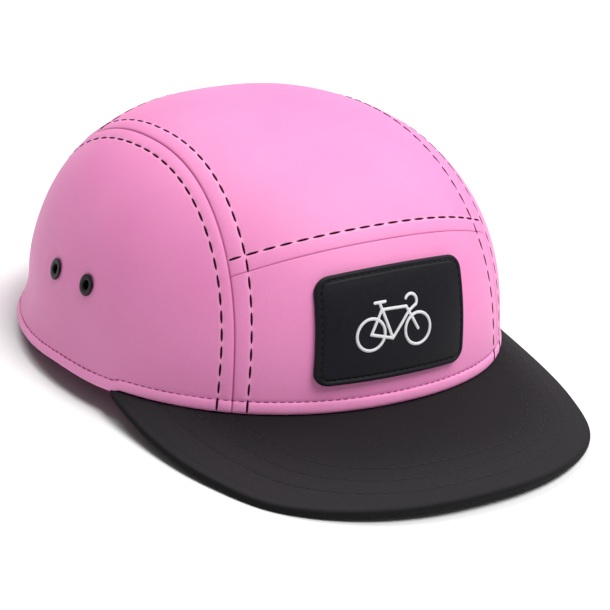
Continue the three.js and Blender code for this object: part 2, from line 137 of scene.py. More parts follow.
def centre_line_radius(turn):
    in_front = np.cos(turn) >= 0
    power = np.where(in_front, FRONT_FULLNESS, BACK_FULLNESS)
    reach = np.where(in_front, FRONT_REACH, BACK_REACH)
    along = np.abs(np.cos(turn) / reach) ** power
    up = np.abs(np.sin(turn) / HEIGHT) ** power
    return (along + up) ** (-1 / power)


def section_power(turn):
    at_rim = np.where(np.cos(turn) >= 0, RIM_FRONT_FULLNESS, RIM_BACK_FULLNESS)
    return at_rim + (TOP_FULLNESS - at_rim) * np.sin(turn) ** 2


def form_point(x, turn):
    x, turn = np.broadcast_arrays(np.asarray(x, float), np.asarray(turn, float))
    power = section_power(turn)
    radius = centre_line_radius(turn) * (1 - np.abs(x / HALF_WIDTH) ** power) ** (1 / power)
    return vectors(x, -radius * np.cos(turn), radius * np.sin(turn))


def onto_form(p):
    turn = np.arctan2(p[..., 2], -p[..., 1])
    power = section_power(turn)
    across = np.abs(p[..., 0] / HALF_WIDTH) ** power
    along = (np.hypot(p[..., 1], p[..., 2]) / centre_line_radius(turn)) ** power
    return p * ((across + along) ** (-1 / power))[..., None]


def behind(p):
    """Nought at the front of the cap and one at its back."""
    spread = np.maximum(np.hypot(p[..., 0], p[..., 1]), 1e-9)
    return (1 + p[..., 1] / spread) / 2


def surface_point(p):
    """The form's point in the direction of p, with the flare of its lower edge."""
    on_form = onto_form(p)
    spread = np.maximum(np.hypot(on_form[..., 0], on_form[..., 1]), 1e-9)
    scale = 1 + FLARE_REACH * np.exp(-on_form[..., 2] / FLARE_FADE) * behind(on_form) / spread
    return on_form * vectors(scale, scale, 1)


def surface_normal(p):
    step = 1e-3
    outward = unit(p)
    level = vectors(-outward[..., 1], outward[..., 0], 0)
    at_pole = np.linalg.norm(level, axis=-1) < 1e-9
    level[at_pole] = (1, 0, 0)
    level = unit(level)
    upward = np.cross(outward, level)

    def slope(axis):
        return surface_point(outward + step * axis) - surface_point(outward - step * axis)

    return unit(np.cross(slope(level), slope(upward)))


def seam_half_width(turn):
    at_rim = np.where(np.cos(turn) >= 0, SEAM_AT_FRONT_RIM, SEAM_AT_BACK_RIM)
    return SEAM_AT_TOP + (at_rim - SEAM_AT_TOP) * np.cos(turn) ** 2


def between(x, places, values):
    """Values at x between those known at places. The values may be vectors."""
    return np.stack([np.interp(x, places, column) for column in np.transpose(values)], -1)


class Line:
    """A line of points that other points can be measured from."""

    def __init__(self, points):
        self.points = np.asarray(points, float)
        steps = np.diff(self.points, axis=0)
        lengths = np.linalg.norm(steps, axis=1)
        self.along = np.concatenate([[0], np.cumsum(lengths)])
        self.length = self.along[-1]
        tangents = unit(steps)
        self.tangents = unit(np.vstack([tangents[:1], tangents[:-1] + tangents[1:], tangents[-1:]]))
        self.tree = kdtree.KDTree(len(self.points))
        for i, p in enumerate(self.points):
            self.tree.insert(p, i)
        self.tree.balance()

    def at(self, along):
        return between(along, self.along, self.points)

    def measure(self, p):
        """Distances from the line and lengths along it, for an array of points."""
        flat = p.reshape(-1, 3)
        nearest = np.array([self.tree.find(q)[1] for q in flat])
        away = flat - self.points[nearest]
        ahead = (away * self.tangents[nearest]).sum(-1)
        distance = np.sqrt(np.maximum((away**2).sum(-1) - ahead**2, 0))
        beyond_start = (nearest == 0) & (ahead < 0)
        beyond_end = (nearest == len(self.points) - 1) & (ahead > 0)
        ended = beyond_start | beyond_end
        distance = np.where(ended, np.linalg.norm(away, axis=-1), distance)
        return distance.reshape(p.shape[:-1]), (self.along[nearest] + ahead).reshape(p.shape[:-1])


def even_line(points, step=0.6):
    rough = Line(points)
    return Line(rough.at(np.linspace(0, rough.length, max(2, round(rough.length / step)))))


def on_crown(x, turn):
    return surface_point(form_point(x, turn))


def beside_seam(turn, offset):
    """Across from the side seam, by an arc length that is positive towards the side panel."""
    x = seam_half_width(turn).astype(float)
    parts, step = 12, 0.05
    for _ in range(parts):
        slope = np.linalg.norm(on_crown(x + step, turn) - on_crown(x - step, turn), axis=-1)
        x = x + offset / parts * 2 * step / slope
    return x


# Turns over the crown against the length of its centre line from the front rim.
centre_turns = np.linspace(0, math.pi, 721)
centre_line = Line(form_point(0, centre_turns))


def turn_at(length):
    return np.interp(length, centre_line.along, centre_turns)


def length_at(turn):
    return float(np.interp(turn, centre_turns, centre_line.along))


def row_offset(offsets, turn):
    return np.interp(np.degrees(turn), ROW_TURNS, offsets)


def side_line(offset):
    return even_line(on_crown(beside_seam(side_turns, offset), side_turns))


side_turns = np.linspace(0, math.pi, 900)
inner_offset = -row_offset(INNER_ROW, side_turns)
side_seam = side_line(0)
side_row_outer = side_line(row_offset(OUTER_ROW, side_turns))
side_row_inner = side_line(inner_offset)
left_row_inner = side_line(inner_offset - LEFT_INNER_EXTRA * np.sin(side_turns) ** 2)


def cross_line(turn, shorter=0.0, right_lift=0.0):
    """A line across the strip. Its right end may lie further up the crown."""
    half_width = float(seam_half_width(turn)) - shorter
    x = np.linspace(-half_width, half_width, 200)
    lift = right_lift * np.clip(-x / half_width, 0, 1) ** 3
    return even_line(on_crown(x, turn + lift / HEIGHT))


front_seam, back_seam = cross_line(FRONT_SEAM), cross_line(BACK_SEAM)
front_row = cross_line(turn_at(length_at(FRONT_SEAM) + CROSS_ROW), CROSS_ROW_SHORTER, FRONT_ROW_LIFT)
back_row = cross_line(turn_at(length_at(BACK_SEAM) - CROSS_ROW), CROSS_ROW_SHORTER)


def arch_edge(turn):
    return vectors(ARCH_HALF_WIDTH * np.cos(turn), BACK_REACH, ARCH_DEPTH * np.sin(turn))


arch_line = even_line(surface_point(arch_edge(np.linspace(0, math.pi, 400))))


def mirrored(p):
    return p * np.array([-1, 1, 1])


def hem_height(p):
    """The hem is a little lower at the sides and back than in front."""
    return np.interp(behind(p), HEM_PLACES, HEM_HEIGHTS)


def late_flare(p):
    """Behind the ears the cloth comes straight down before its edge kicks out."""
    return -FLARE_LATENESS * smooth(0.45, 0.75, behind(p)) * dip(p[..., 2] - LATE_HEIGHT, LATE_SPREAD)


def hung(p):
    """The seams lie a little to the wearer's right over the top. The hem hangs lower just behind the
    peak's tips, where no peak holds it up."""
    shifted = p - np.array([STRIP_SHIFT, 0, 0]) * smooth(*SHIFT_HEIGHTS, p[..., 2:])
    p = p + surface_point(shifted) - surface_point(p)
    plan = np.degrees(np.arctan2(np.abs(p[..., 0]), -p[..., 1]))
    slack = HEM_SLACK * smooth(*SLACK_FROM, plan) * (1 - smooth(*SLACK_TO, plan))
    lower = slack * (1 - smooth(0, SLACK_TOP, p[..., 2]))
    return p - lower[..., None] * np.array([0, 0, 1])


def beyond_arch(away):
    """The line round the arch at a distance from its edge."""
    edge = arch_line.points
    outward = unit(np.cross(surface_normal(edge), arch_line.tangents))
    outward *= np.sign(outward[len(edge) // 2, 2])
    moved = surface_point(edge + outward * away)
    return even_line(moved[moved[:, 2] > away])


def direction(plan, height=0.0):
    """A direction by its angle from the front, towards the wearer's left, and its rise."""
    level = vectors(np.sin(plan), -np.cos(plan), 0)
    return np.cos(height) * level + np.sin(height) * np.array([0, 0, 1])


foot_plan = math.pi - math.atan2(ARCH_HALF_WIDTH + HEM_BEHIND, BACK_REACH)
hem_points = surface_point(direction(np.linspace(-foot_plan, foot_plan, 1200)))
for _ in range(8):
    aim = hem_points.copy()
    aim[:, 2] = hem_height(hem_points)
    hem_points = surface_point(aim)
hem_row = even_line(hem_points)
arch_row = beyond_arch(HEM_BEHIND)


def waves(p, wavelengths, seed, count=6):
    """Seeded unevenness of the cloth, from waves in all directions."""
    rng = np.random.default_rng(seed)
    total = np.zeros(p.shape[:-1])
    for _ in range(count):
        ahead = unit(rng.normal(size=3))
        total += np.sin(p @ ahead * 2 * math.pi / rng.uniform(*wavelengths) + rng.uniform(0, 6.3))
    return total / count


def slow_waves(p):
    return waves(p, (38, 80), 7, 7)


# Depths and widths: of the groove under a row's stitches, of the swelling between them, and the same at
# the hem's row. A share of the groove also runs on between the stitches.
ROW_GROOVE, ROW_SWELLING, GROOVE_BETWEEN = (0.2, 0.6), (0.08, 0.9), 0.3
HEM_GROOVE, HEM_PUCKER = (0.2, 0.5), (0.08, 1.6)


def hill(distance, size):
    height, width = size
    return height * dip(distance, width)


def row_relief(distance, along, length):
    """How a row of stitches draws the cloth down, most under each stitch."""
    count = max(1, round(length / STITCH_PITCH))
    phase = np.cos(2 * math.pi * (along / length * count - 0.5))
    pulled = 0.5 + 0.5 * np.clip(phase * 1.6 + 0.5, -1, 1)
    groove = hill(distance, ROW_GROOVE) * (GROOVE_BETWEEN + (1 - GROOVE_BETWEEN) * pulled)
    return hill(distance, ROW_SWELLING) * (1 - pulled) - groove


def cushion(distance, width):
    """A soft swelling between a seam and its row."""
    return np.sin(math.pi * np.clip(distance / width, 0, 1)) ** 0.8


# Depths and widths of the creases at the seams, and heights of the swellings beside them.
WAVE_HEIGHT, HEM_UNEVENNESS = 0.3, 0.16
SIDE_CREASE, SIDE_SLOPE, CROSS_CREASE = (0.42, 0.34), (0.06, 1.2), (0.26, 0.26)
STRIP_SWELLING, SIDE_SWELLING, CROSS_SWELLING, SWELLING_IN_HEM = 0.26, 0.18, 0.16, 0.35
# How much faster the painted shade in a cross seam's crease fades, and a distance that is away from every
# line.
CROSS_FAINTNESS, FAR = 1.6, 99


def crown_relief(p):
    """Offset outwards of the cloth's face, distance from its free edge, and what its finish follows."""
    one_side = np.where(p[..., :1] < 0, mirrored(p), p)
    side, _ = side_seam.measure(one_side)
    lines = (front_seam, back_seam, arch_line, arch_row, hem_row)
    front, back, arch, arch_stitch, hem = (line.measure(p)[0] for line in lines)
    inner = np.where(p[..., 0] > 0, left_row_inner.measure(p), side_row_inner.measure(one_side))
    rows = [
        (side_row_outer, side_row_outer.measure(one_side)), (side_row_inner, inner),
        (front_row, front_row.measure(p)), (back_row, back_row.measure(p)),
    ]

    turn = np.arctan2(p[..., 2], -p[..., 1])
    in_strip = one_side[..., 0] < seam_half_width(turn)
    in_top = (turn > FRONT_SEAM) & (turn < BACK_SEAM)
    near_arch = in_strip & (p[..., 1] > 0) & (p[..., 2] < ARCH_DEPTH + 20)
    free = np.minimum(p[..., 2], np.where(near_arch, arch, FAR))
    height = hem_height(p)
    above_hem = np.clip((free - height + 1) / 2, 0, 1)
    relief = WAVE_HEIGHT * slow_waves(p) + late_flare(p)
    swelling = np.where(
        in_strip, STRIP_SWELLING * cushion(side, row_offset(INNER_ROW, turn)),
        SIDE_SWELLING * cushion(side, row_offset(OUTER_ROW, turn)),
    )
    relief += (SWELLING_IN_HEM + (1 - SWELLING_IN_HEM) * above_hem) * swelling
    relief -= hill(side, SIDE_CREASE) + hill(side, SIDE_SLOPE)
    for seam in (front, back):
        relief += np.where(in_top, CROSS_SWELLING, 0) * cushion(seam, CROSS_ROW) - hill(seam, CROSS_CREASE)
    for row, (distance, along) in rows:
        relief += row_relief(distance, along, row.length)

    puff = HEM_PUFF - HEM_PUFF_LOSS * smooth(0.5, 0.8, behind(p))
    puff = puff * np.sin(math.pi * np.clip(free / height, 0, 1)) ** 0.75
    puff *= 1 + HEM_UNEVENNESS * waves(p, (4.9, 9.8), 3)
    sewn = np.minimum(hem, arch_stitch)
    relief += puff - hill(sewn, HEM_GROOVE) + hill(sewn, HEM_PUCKER) * waves(p, (2.24, 4.48), 5)

    # Distances that the cloth's finish reads: for painted shade in the seams' creases and the hem's groove,
    # and for a painted highlight beside the stitch rows and painted light on the hem's roll.
    distances = {
        "seam_distance": np.min([side, front * CROSS_FAINTNESS, back * CROSS_FAINTNESS], axis=0),
        "stitch_distance": np.min([distance for _, (distance, _) in rows], axis=0),
        "hem_distance": sewn,
        "hem_side": free - height,
    }
    return relief, free, distances


def cloth_normal(p):
    """The outward direction, levelled at the rim so that the hem's underside stays in its plane."""
    n = surface_normal(p)
    n[..., 2] *= smooth(0, 3.5, p[..., 2])
    return unit(n)


# Meshes and pieces.

def added(name, data):
    made = bpy.data.objects.new(name, data)
    bpy.context.scene.collection.objects.link(made)
    return made


def dress(piece, replaced, finish):
    piece.data.materials.clear()
    piece.data.materials.append(finish)
    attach(piece, "root")
    if replaced:
        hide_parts(*replaced)


def set_attribute(mesh, name, values):
    vector = values.ndim == 2
    attribute = mesh.attributes.new(name, "FLOAT_VECTOR" if vector else "FLOAT", "POINT")
    attribute.data.foreach_set("vector" if vector else "value", values.astype(np.float32).ravel())


def face_outwards(mesh):
    turned = bmesh.new()
    turned.from_mesh(mesh)
    bmesh.ops.recalc_face_normals(turned, faces=turned.faces)
    turned.to_mesh(mesh)
    turned.free()


def settled(maker):
    """The mesh that an object's modifiers make. The object itself goes."""
    made = bpy.data.meshes.new_from_object(maker.evaluated_get(bpy.context.evaluated_depsgraph_get()))
    bpy.data.objects.remove(maker)
    return made


def mesh_piece(name, points, faces, look, replaced, attributes=None):
    """A piece from points in the cap's frame. Its look is a slot's name, which is not used, and a finish."""
    mesh = bpy.data.meshes.new(name)
    mesh.from_pydata(to_row(points).tolist(), [], faces.tolist() if isinstance(faces, np.ndarray) else faces)
    for key, values in (attributes or {}).items():
        set_attribute(mesh, key, values)
    mesh.shade_smooth()
    mesh.update()
    dress(added(name, mesh), replaced, look[1])
    return mesh


def grid_quads(rows, columns, first=0, around=False, ring=False, flip=False):
    """Faces of a grid whose columns may close around, and whose rows may meet in a ring."""
    i, j = np.meshgrid(
        np.arange(rows if ring else rows - 1), np.arange(columns if around else columns - 1), indexing="ij"
    )
    i, j = i.ravel(), j.ravel()
    here, ahead, k = i * columns, (i + 1) % rows * columns, (j + 1) % columns
    quads = np.stack([here + j, here + k, ahead + k, ahead + j], 1) + first
    return quads[:, ::-1] if flip else quads


def shell_faces(rows, columns, holes=None):
    """Faces of a wall between an outer grid and an inner one, as in the part's source."""
    count = rows * columns
    outer = grid_quads(rows, columns)
    if holes is not None:
        outer = outer[~holes]
    edges = [edge for quad in outer.tolist() for edge in zip(quad, quad[1:] + quad[:1])]
    known = set(edges)
    rims = [(b, a, a + count, b + count) for a, b in edges if (b, a) not in known]
    return np.vstack([outer, (outer + count)[:, ::-1], rims])


# Lengths from a free edge and from a seam at which a panel's grid has its lines.
HEM_STEPS = np.array([
    0, 0.06, 0.2, 0.45, 0.8, 1.2, 1.7, 2.2, 2.7, 3.2, 3.6, 4, 4.35, 4.65, 5, 5.35, 5.7, 6.1, 6.6, 7.2, 8,
])
SEAM_STEPS = np.array([
    0, 0.12, 0.28, 0.5, 0.8, 1.2, 1.8, 2.6, 3.4, 4.2, 4.8, 5.3, 5.7, 6, 6.3, 6.6, 6.9, 7.3, 7.9, 8.8,
])


def shares(length, first, last, step=1.05):
    end = length - last[::-1]
    count = max(1, math.ceil((end[0] - first[-1]) / step))
    middle = np.linspace(first[-1], end[0], count + 1)[1:-1]
    return np.concatenate([first, middle, end]) / length


def weave_coordinates(grid):
    """Lengths across and up the cloth, measured along the grid's rows and columns."""
    across = np.linalg.norm(np.diff(grid, axis=1), axis=-1)
    up = np.linalg.norm(np.diff(grid, axis=0), axis=-1)
    u = np.concatenate([np.zeros((grid.shape[0], 1)), np.cumsum(across, 1)], 1)
    u -= u[:, -1:] / 2
    v = np.concatenate([np.zeros((1, grid.shape[1])), np.cumsum(up, 0)], 0)
    return vectors(u, v, 0)


def backward(axis):
    """The level direction towards the cap's back, square to an eyelet's axis."""
    level = np.cross([0, 0, 1], axis)
    return unit(level * np.sign(level[1]))


# How far from a free edge the wall begins to round off, how full that round is, and how thin it gets.
EDGE_ROUND, EDGE_FULLNESS, EDGE_THINNEST = 1.25, 2.2, 0.05
# What the cloth is thicker by, inside: at the turned hem and at the seams' allowances.
HEM_FOLD, SEAM_ALLOWANCE, ALLOWANCE_END = 0.45, 0.35, (6.8, 7.6)
# The cloth's opening under an eyelet's ring, the dent round it, and how far the ring calms and tilts it.
EYELET_OPENING, EYELET_DENT_AT, EYELET_DENT = 3.4, 3.2, (0.16, 1.4)
EYELET_CALM, EYELET_TILT_END = EYELET_RADIUS + 3, 10
# The distance from every line that the cloth's inside is given, so that it stays plain.
PLAIN_INSIDE = 20.0


def rounded(left, fullness):
    """The height of a round edge, with the share of its width that is left to its rim."""
    return (1 - left**fullness) ** (1 / fullness)


def cloth_panel(name, grid, replaced, holes=()):
    """A panel's wall: its face with seams, rows and hem, its rounded free edges, and its back."""
    face = surface_point(grid)
    normal = cloth_normal(face)
    relief, free, distances = crown_relief(face)
    allowance = SEAM_ALLOWANCE * (1 - smooth(*ALLOWANCE_END, distances["seam_distance"]))
    turned = hem_height(face)
    inside = -WALL - HEM_FOLD * smooth(turned, turned - 1.5, free)
    inside = inside - allowance * smooth(turned - 0.5, turned + 1, free) + 0.2 * slow_waves(face)
    hole_faces = np.zeros((grid.shape[0] - 1, grid.shape[1] - 1), bool)
    for hole in holes:
        centre, axis = surface_point(hole), surface_normal(hole)
        away = face - centre
        radial = away - (away @ axis)[..., None] * axis
        distance = np.linalg.norm(radial, axis=-1)
        relief = relief * smooth(EYELET_RADIUS, EYELET_CALM, distance)
        relief -= hill(distance - EYELET_DENT_AT, EYELET_DENT)
        tilt = 1 - smooth(EYELET_RADIUS, EYELET_TILT_END, distance)
        relief += EYELET_SLANT * (radial @ backward(axis)) * tilt
        near = distance < EYELET_OPENING
        hole_faces |= near[:-1, :-1] & near[:-1, 1:] & near[1:, :-1] & near[1:, 1:]
    middle = (relief + inside) / 2
    fullness = np.maximum(rounded(1 - np.clip(free / EDGE_ROUND, 0, 1), EDGE_FULLNESS), EDGE_THINNEST)
    skins = [face + normal * (middle + (skin - middle) * fullness)[..., None] for skin in (relief, inside)]
    points = hung(np.vstack([skin.reshape(-1, 3) for skin in skins]))
    attributes = {"weave": np.tile(weave_coordinates(face).reshape(-1, 3), (2, 1))}
    for key, values in distances.items():
        attributes[key] = np.concatenate([values.ravel(), np.full(values.size, PLAIN_INSIDE)])
    faces = shell_faces(*grid.shape[:2], hole_faces.ravel())
    mesh_piece(name, points, faces, ("pink_cloth", pink_cloth), replaced, attributes)


def seam_edge(side, turn, clearance=SEAM_CLEARANCE):
    """A panel's edge at a side seam: the side panel's, or the strip's with the clearance below nought."""
    return form_point(side * (seam_half_width(turn) + clearance), turn)


clear_turn = SEAM_CLEARANCE / HEIGHT
# Rough lengths of panels, which only set how many lines their grids have.
FRONT_ACROSS, TOP_ACROSS, SIDE_LENGTH, SIDE_HEIGHT = 2.2 * SEAM_AT_FRONT_RIM, 2.15 * SEAM_AT_TOP, 190, 96
# Up to this height the arch's edge is parted by height, so that the feet's lines stay level.
ARCH_STRAIGHT = 18


def strip_panel_grid(start, end, low_steps, width):
    """A panel of the strip, between two lengths along its middle. The front one starts at the rim."""
    turns = turn_at(start + shares(end - start, low_steps, SEAM_STEPS) * (end - start))
    turns[0] += clear_turn * (start > 0)
    turns[-1] -= clear_turn
    edge = seam_half_width(turns) - SEAM_CLEARANCE
    across = shares(width, SEAM_STEPS, SEAM_STEPS)
    return form_point(edge[:, None] * (2 * across - 1)[None, :], turns[:, None])


def side_panel_grid(side):
    ends = (seam_edge(side, turn) for turn in (0.0, math.pi))
    from_plan, to_plan = (math.atan2(abs(p[0]), -p[1]) for p in ends)
    u = shares(SIDE_LENGTH, SEAM_STEPS, SEAM_STEPS)
    turns = shares(SIDE_HEIGHT, HEM_STEPS * 0.86, SEAM_STEPS) * SHOULDER
    v = turns / SHOULDER

    def rim(u):
        plan = from_plan + (to_plan - from_plan) * np.asarray(u, float)
        return onto_form(direction(side * plan))

    def top(u):
        return seam_edge(side, SHOULDER + (math.pi - 2 * SHOULDER) * np.asarray(u, float))

    V, U = v[:, None, None], u[None, :, None]
    p = rim(u)[None] * (1 - V) + top(u)[None] * V
    p = p + seam_edge(side, turns)[:, None] * (1 - U) + seam_edge(side, math.pi - turns)[:, None] * U
    p = p - rim(0.0) * (1 - U) * (1 - V) - rim(1.0) * U * (1 - V)
    p = p - top(0.0) * (1 - U) * V - top(1.0) * U * V
    return p[:, ::-1] if side < 0 else p


def back_panel_grid():
    """Rows from the arch's edge out to the seams, columns from the wearer's left foot over to the right."""
    back_turns = np.linspace(math.pi, BACK_SEAM + clear_turn, 300)
    rising = Line(seam_edge(1, back_turns, -SEAM_CLEARANCE))
    corner = rising.points[-1]
    across = Line(form_point(np.linspace(corner[0], -corner[0], 200), BACK_SEAM + clear_turn))
    up = shares(rising.length, HEM_STEPS, SEAM_STEPS) * rising.length
    over = shares(across.length, SEAM_STEPS, SEAM_STEPS) * across.length
    right_side = rising.at(up)
    high = np.vstack([right_side, across.at(over)[1:-1], mirrored(right_side)[::-1]])
    total = 2 * rising.length + across.length
    along = np.concatenate([up, rising.length + over[1:-1], (total - up)[::-1]])
    low_turn = math.asin(ARCH_STRAIGHT / ARCH_DEPTH)
    half = np.minimum(along, total - along)
    share = (half - ARCH_STRAIGHT) / (total / 2 - ARCH_STRAIGHT)
    straight = np.arcsin(np.minimum(half, ARCH_STRAIGHT) / ARCH_DEPTH)
    turn = np.where(half < ARCH_STRAIGHT, straight, low_turn + (math.pi / 2 - low_turn) * share)
    turn = np.where(along > total / 2, math.pi - turn, turn)
    low = onto_form(arch_edge(turn))
    length = np.linalg.norm(high - low, axis=-1)
    squeeze = np.minimum(1, length / (HEM_STEPS[-1] + SEAM_STEPS[-1] + 3))
    middle = np.linspace(0, 1, 30)[1:-1]
    start, end = HEM_STEPS[:, None] * squeeze, length - SEAM_STEPS[::-1, None] * squeeze
    spaced = start[-1] + (end[0] - start[-1]) * middle[:, None]
    rows = np.vstack([start, spaced, end]) / length
    return low[None] + (high - low)[None] * rows[..., None]


# Finishes. Each is made of nodes, from the piece's own coordinates in millimetres.

def colour(code):
    channels = [int(code[i : i + 2], 16) / 255 for i in (1, 3, 5)]
    return tuple(c / 12.92 if c <= 0.04045 else ((c + 0.055) / 1.055) ** 2.4 for c in channels) + (1.0,)


class Nodes:
    """A short way to add nodes to a tree. Inputs go by name, or by number after an underscore."""

    def __init__(self, tree):
        self.tree = tree

    def feed(self, socket, value):
        if isinstance(value, bpy.types.NodeSocket):
            self.tree.links.new(value, socket)
        else:
            socket.default_value = value

    def node(self, kind, settings=None, **inputs):
        made = self.tree.nodes.new(kind)
        for key, value in (settings or {}).items():
            setattr(made, key, value)
        for key, value in inputs.items():
            self.feed(made.inputs[int(key[1:]) if key[0] == "_" else key.replace("_", " ")], value)
        return made

    def math(self, operation, a, b=0.0, clamp=False):
        settings = {"operation": operation, "use_clamp": clamp}
        return self.node("ShaderNodeMath", settings, _0=a, _1=b).outputs[0]


class Finish(Nodes):
    """A material, from its colour, roughness and slight relief."""

    def __init__(self, name):
        self.material = bpy.data.materials.new(name)
        self.material.use_nodes = True
        super().__init__(self.material.node_tree)
        self.shader = next(n for n in self.tree.nodes if n.type == "BSDF_PRINCIPLED")
        metres = self.node("ShaderNodeTexCoord").outputs["Object"]
        scaled = self.node("ShaderNodeVectorMath", {"operation": "SCALE"}, _0=metres, Scale=1000.0)
        self.place = scaled.outputs[0]

    def done(self, **sockets):
        for key, value in sockets.items():
            self.feed(self.shader.inputs[key.replace("_", " ")], value)
        return self.material

    def attribute(self, name, output="Fac"):
        return self.node("ShaderNodeAttribute", {"attribute_name": name}).outputs[output]

    def weave_axes(self):
        """Lengths across and up the cloth."""
        return self.node("ShaderNodeSeparateXYZ", _0=self.attribute("weave", "Vector")).outputs[:2]

    def noise(self, scale, detail):
        return self.node("ShaderNodeTexNoise", Vector=self.place, Scale=scale, Detail=detail).outputs["Fac"]

    def bands(self, axis, place=None, **inputs):
        settings = {"wave_type": "BANDS", "bands_direction": axis}
        return self.node("ShaderNodeTexWave", settings, Vector=place or self.place, **inputs).outputs["Fac"]

    def ripple(self, length, pitch):
        return self.math("SINE", self.math("MULTIPLY", length, 2 * math.pi / pitch))

    def spread(self, value, low, width):
        return self.math("ADD", self.math("MULTIPLY", value, width), low)

    def mix(self, factor, a, b):
        made = self.node("ShaderNodeMix", {"data_type": "RGBA"}, _0=factor)
        for number, value in ((6, a), (7, b)):
            self.feed(made.inputs[number], colour(value) if isinstance(value, str) else value)
        return made.outputs[2]

    def tint(self, base, where, share, code):
        """The base, turned by a share towards a colour where a value is high."""
        return self.mix(self.math("MULTIPLY", where, share), base, code)

    def tints(self, base, *tints):
        """Tints along lines: the line's attribute, its width, its share and its colour."""
        for line, width, share, code in tints:
            base = self.tint(base, self.near(line, width), share, code)
        return base

    def ramp(self, value, low, high):
        made = self.node("ShaderNodeValToRGB", _0=value)
        for point, place, level in zip(made.color_ramp.elements, (low, high), (0.0, 1.0)):
            point.position = place
            point.color = (level, level, level, 1)
        return made.outputs[0]

    def near(self, name, width, start=0.0):
        """One on a line, falling to nothing at a distance from it."""
        limits = {"_1": start, "_2": width, "_3": 1.0, "_4": 0.0}
        settings = {"interpolation_type": "SMOOTHSTEP"}
        return self.node("ShaderNodeMapRange", settings, _0=self.attribute(name), **limits).outputs[0]

    def bump(self, height, micrometres, strength, under=None):
        made = self.node("ShaderNodeBump", Strength=strength, Distance=micrometres / 1e6, Height=height)
        if under is not None:
            self.feed(made.inputs["Normal"], under)
        return made.outputs[0]


def pink_cloth_finish():
    f = Finish("pink_nylon_cloth")
    fine = f.noise(1.7, 3.0)
    base = f.mix(f.ramp(f.noise(0.03, 3.0), 0.3, 0.7), "#E384B9", "#E78BBE")
    base = f.tint(base, f.ramp(fine, 0.35, 0.65), 0.25, "#D976AF")
    # Painted highlight: the cloth turns lighter pink within 1.5 mm of the stitch rows.
    base = f.tint(base, f.near("stitch_distance", 1.5), 0.3, "#FAB4DA")
    # Painted light: the hem's roll, below its row, is made lighter pink.
    base = f.tint(base, f.math("LESS_THAN", f.attribute("hem_side"), 0.0), 0.55, "#FB9FD2")
    # Painted shade: darker in the seams' creases and along the groove of the hem's row.
    base = f.tints(base, ("seam_distance", 0.5, 0.6, "#98396F"), ("hem_distance", 0.4, 0.2, "#B8508F"))
    across, up = (f.ripple(axis, 0.5) for axis in f.weave_axes())
    normal = f.bump(fine, 100, 0.25, f.bump(f.math("MULTIPLY", across, up), 60, 0.35))
    return f.done(
        Base_Color=base, Roughness=f.spread(fine, 0.46, 0.12), Specular_IOR_Level=0.45, Normal=normal
    )


def black_twill_finish():
    f = Finish("black_twill_cloth")
    turn = (0, 0, math.radians(45))
    slanted = f.node("ShaderNodeMapping", Vector=f.place, Rotation=turn).outputs[0]
    lines = f.bands("X", slanted, Scale=0.33, Distortion=0.9, Detail=2.0, Detail_Scale=1.4)
    cross = f.bands("Y", slanted, Scale=0.62, Distortion=0.6, Detail=1.0)
    noise = f.noise(0.9, 4.0)
    base = f.mix(lines, "#181519", "#1F1C20")
    base = f.tint(base, f.noise(0.045, 2.0), 0.5, "#1C181A")
    base = f.tint(base, noise, 0.3, "#141215")
    # Painted light and shade: the peak is lighter within 8 mm of its edge, fading to its darker base 34 mm
    # in, towards the crown.
    base = f.tint(base, f.near("edge_distance", 34.0, 8.0), 0.35, "#302D31")
    # Painted shade: darker in the grooves of the stitch rows and on the rounded edge band, which faces down
    # and away from the light.
    base = f.tints(base, ("row_distance", 0.7, 0.35, "#121113"), ("edge_distance", 1.9, 0.75, "#0D0B0E"))
    twill = f.math("ADD", lines, f.math("MULTIPLY", cross, 0.3))
    normal = f.bump(noise, 150, 0.25, f.bump(twill, 80, 0.5))
    return f.done(
        Base_Color=base, Roughness=f.spread(noise, 0.6, 0.2), Specular_IOR_Level=0.12, Normal=normal
    )


def black_leather_finish():
    f = Finish("black_smooth_leather")
    grain = f.node("ShaderNodeTexVoronoi", {"feature": "F1"}, Vector=f.place, Scale=1.5).outputs["Distance"]
    noise = f.noise(0.5, 4.0)
    base = f.mix(noise, "#131318", "#1B1B21")
    # Painted highlight along the patch's rounded rim, and painted shade in its sewn groove.
    base = f.tints(base, ("rim_distance", 0.9, 0.35, "#1E1B22"), ("groove_distance", 0.7, 0.8, "#0A0A0D"))
    normal = f.bump(noise, 100, 0.3, f.bump(grain, 50, 0.3))
    return f.done(
        Base_Color=base, Roughness=f.spread(noise, 0.4, 0.16), Specular_IOR_Level=0.12, Normal=normal
    )


def thread_finish(name, dark, light, roughness=0.55):
    f = Finish(name)
    twist = f.bands("DIAGONAL", Scale=1.1, Distortion=1.0)
    base = f.mix(f.math("MULTIPLY", twist, f.noise(2.5, 2.0)), dark, light)
    return f.done(
        Base_Color=base, Roughness=roughness, Specular_IOR_Level=0.06, Normal=f.bump(twist, 80, 0.5)
    )


def uneven_finish(name, noise, codes, roughness, micrometres, tints=(), specular=0.5):
    """A finish whose colour, roughness and slight relief follow one noise."""
    f = Finish(name)
    value = f.noise(*noise)
    return f.done(
        Base_Color=f.tints(f.mix(value, *codes), *tints), Roughness=f.spread(value, *roughness),
        Specular_IOR_Level=specular, Normal=f.bump(value, micrometres, 0.3),
    )


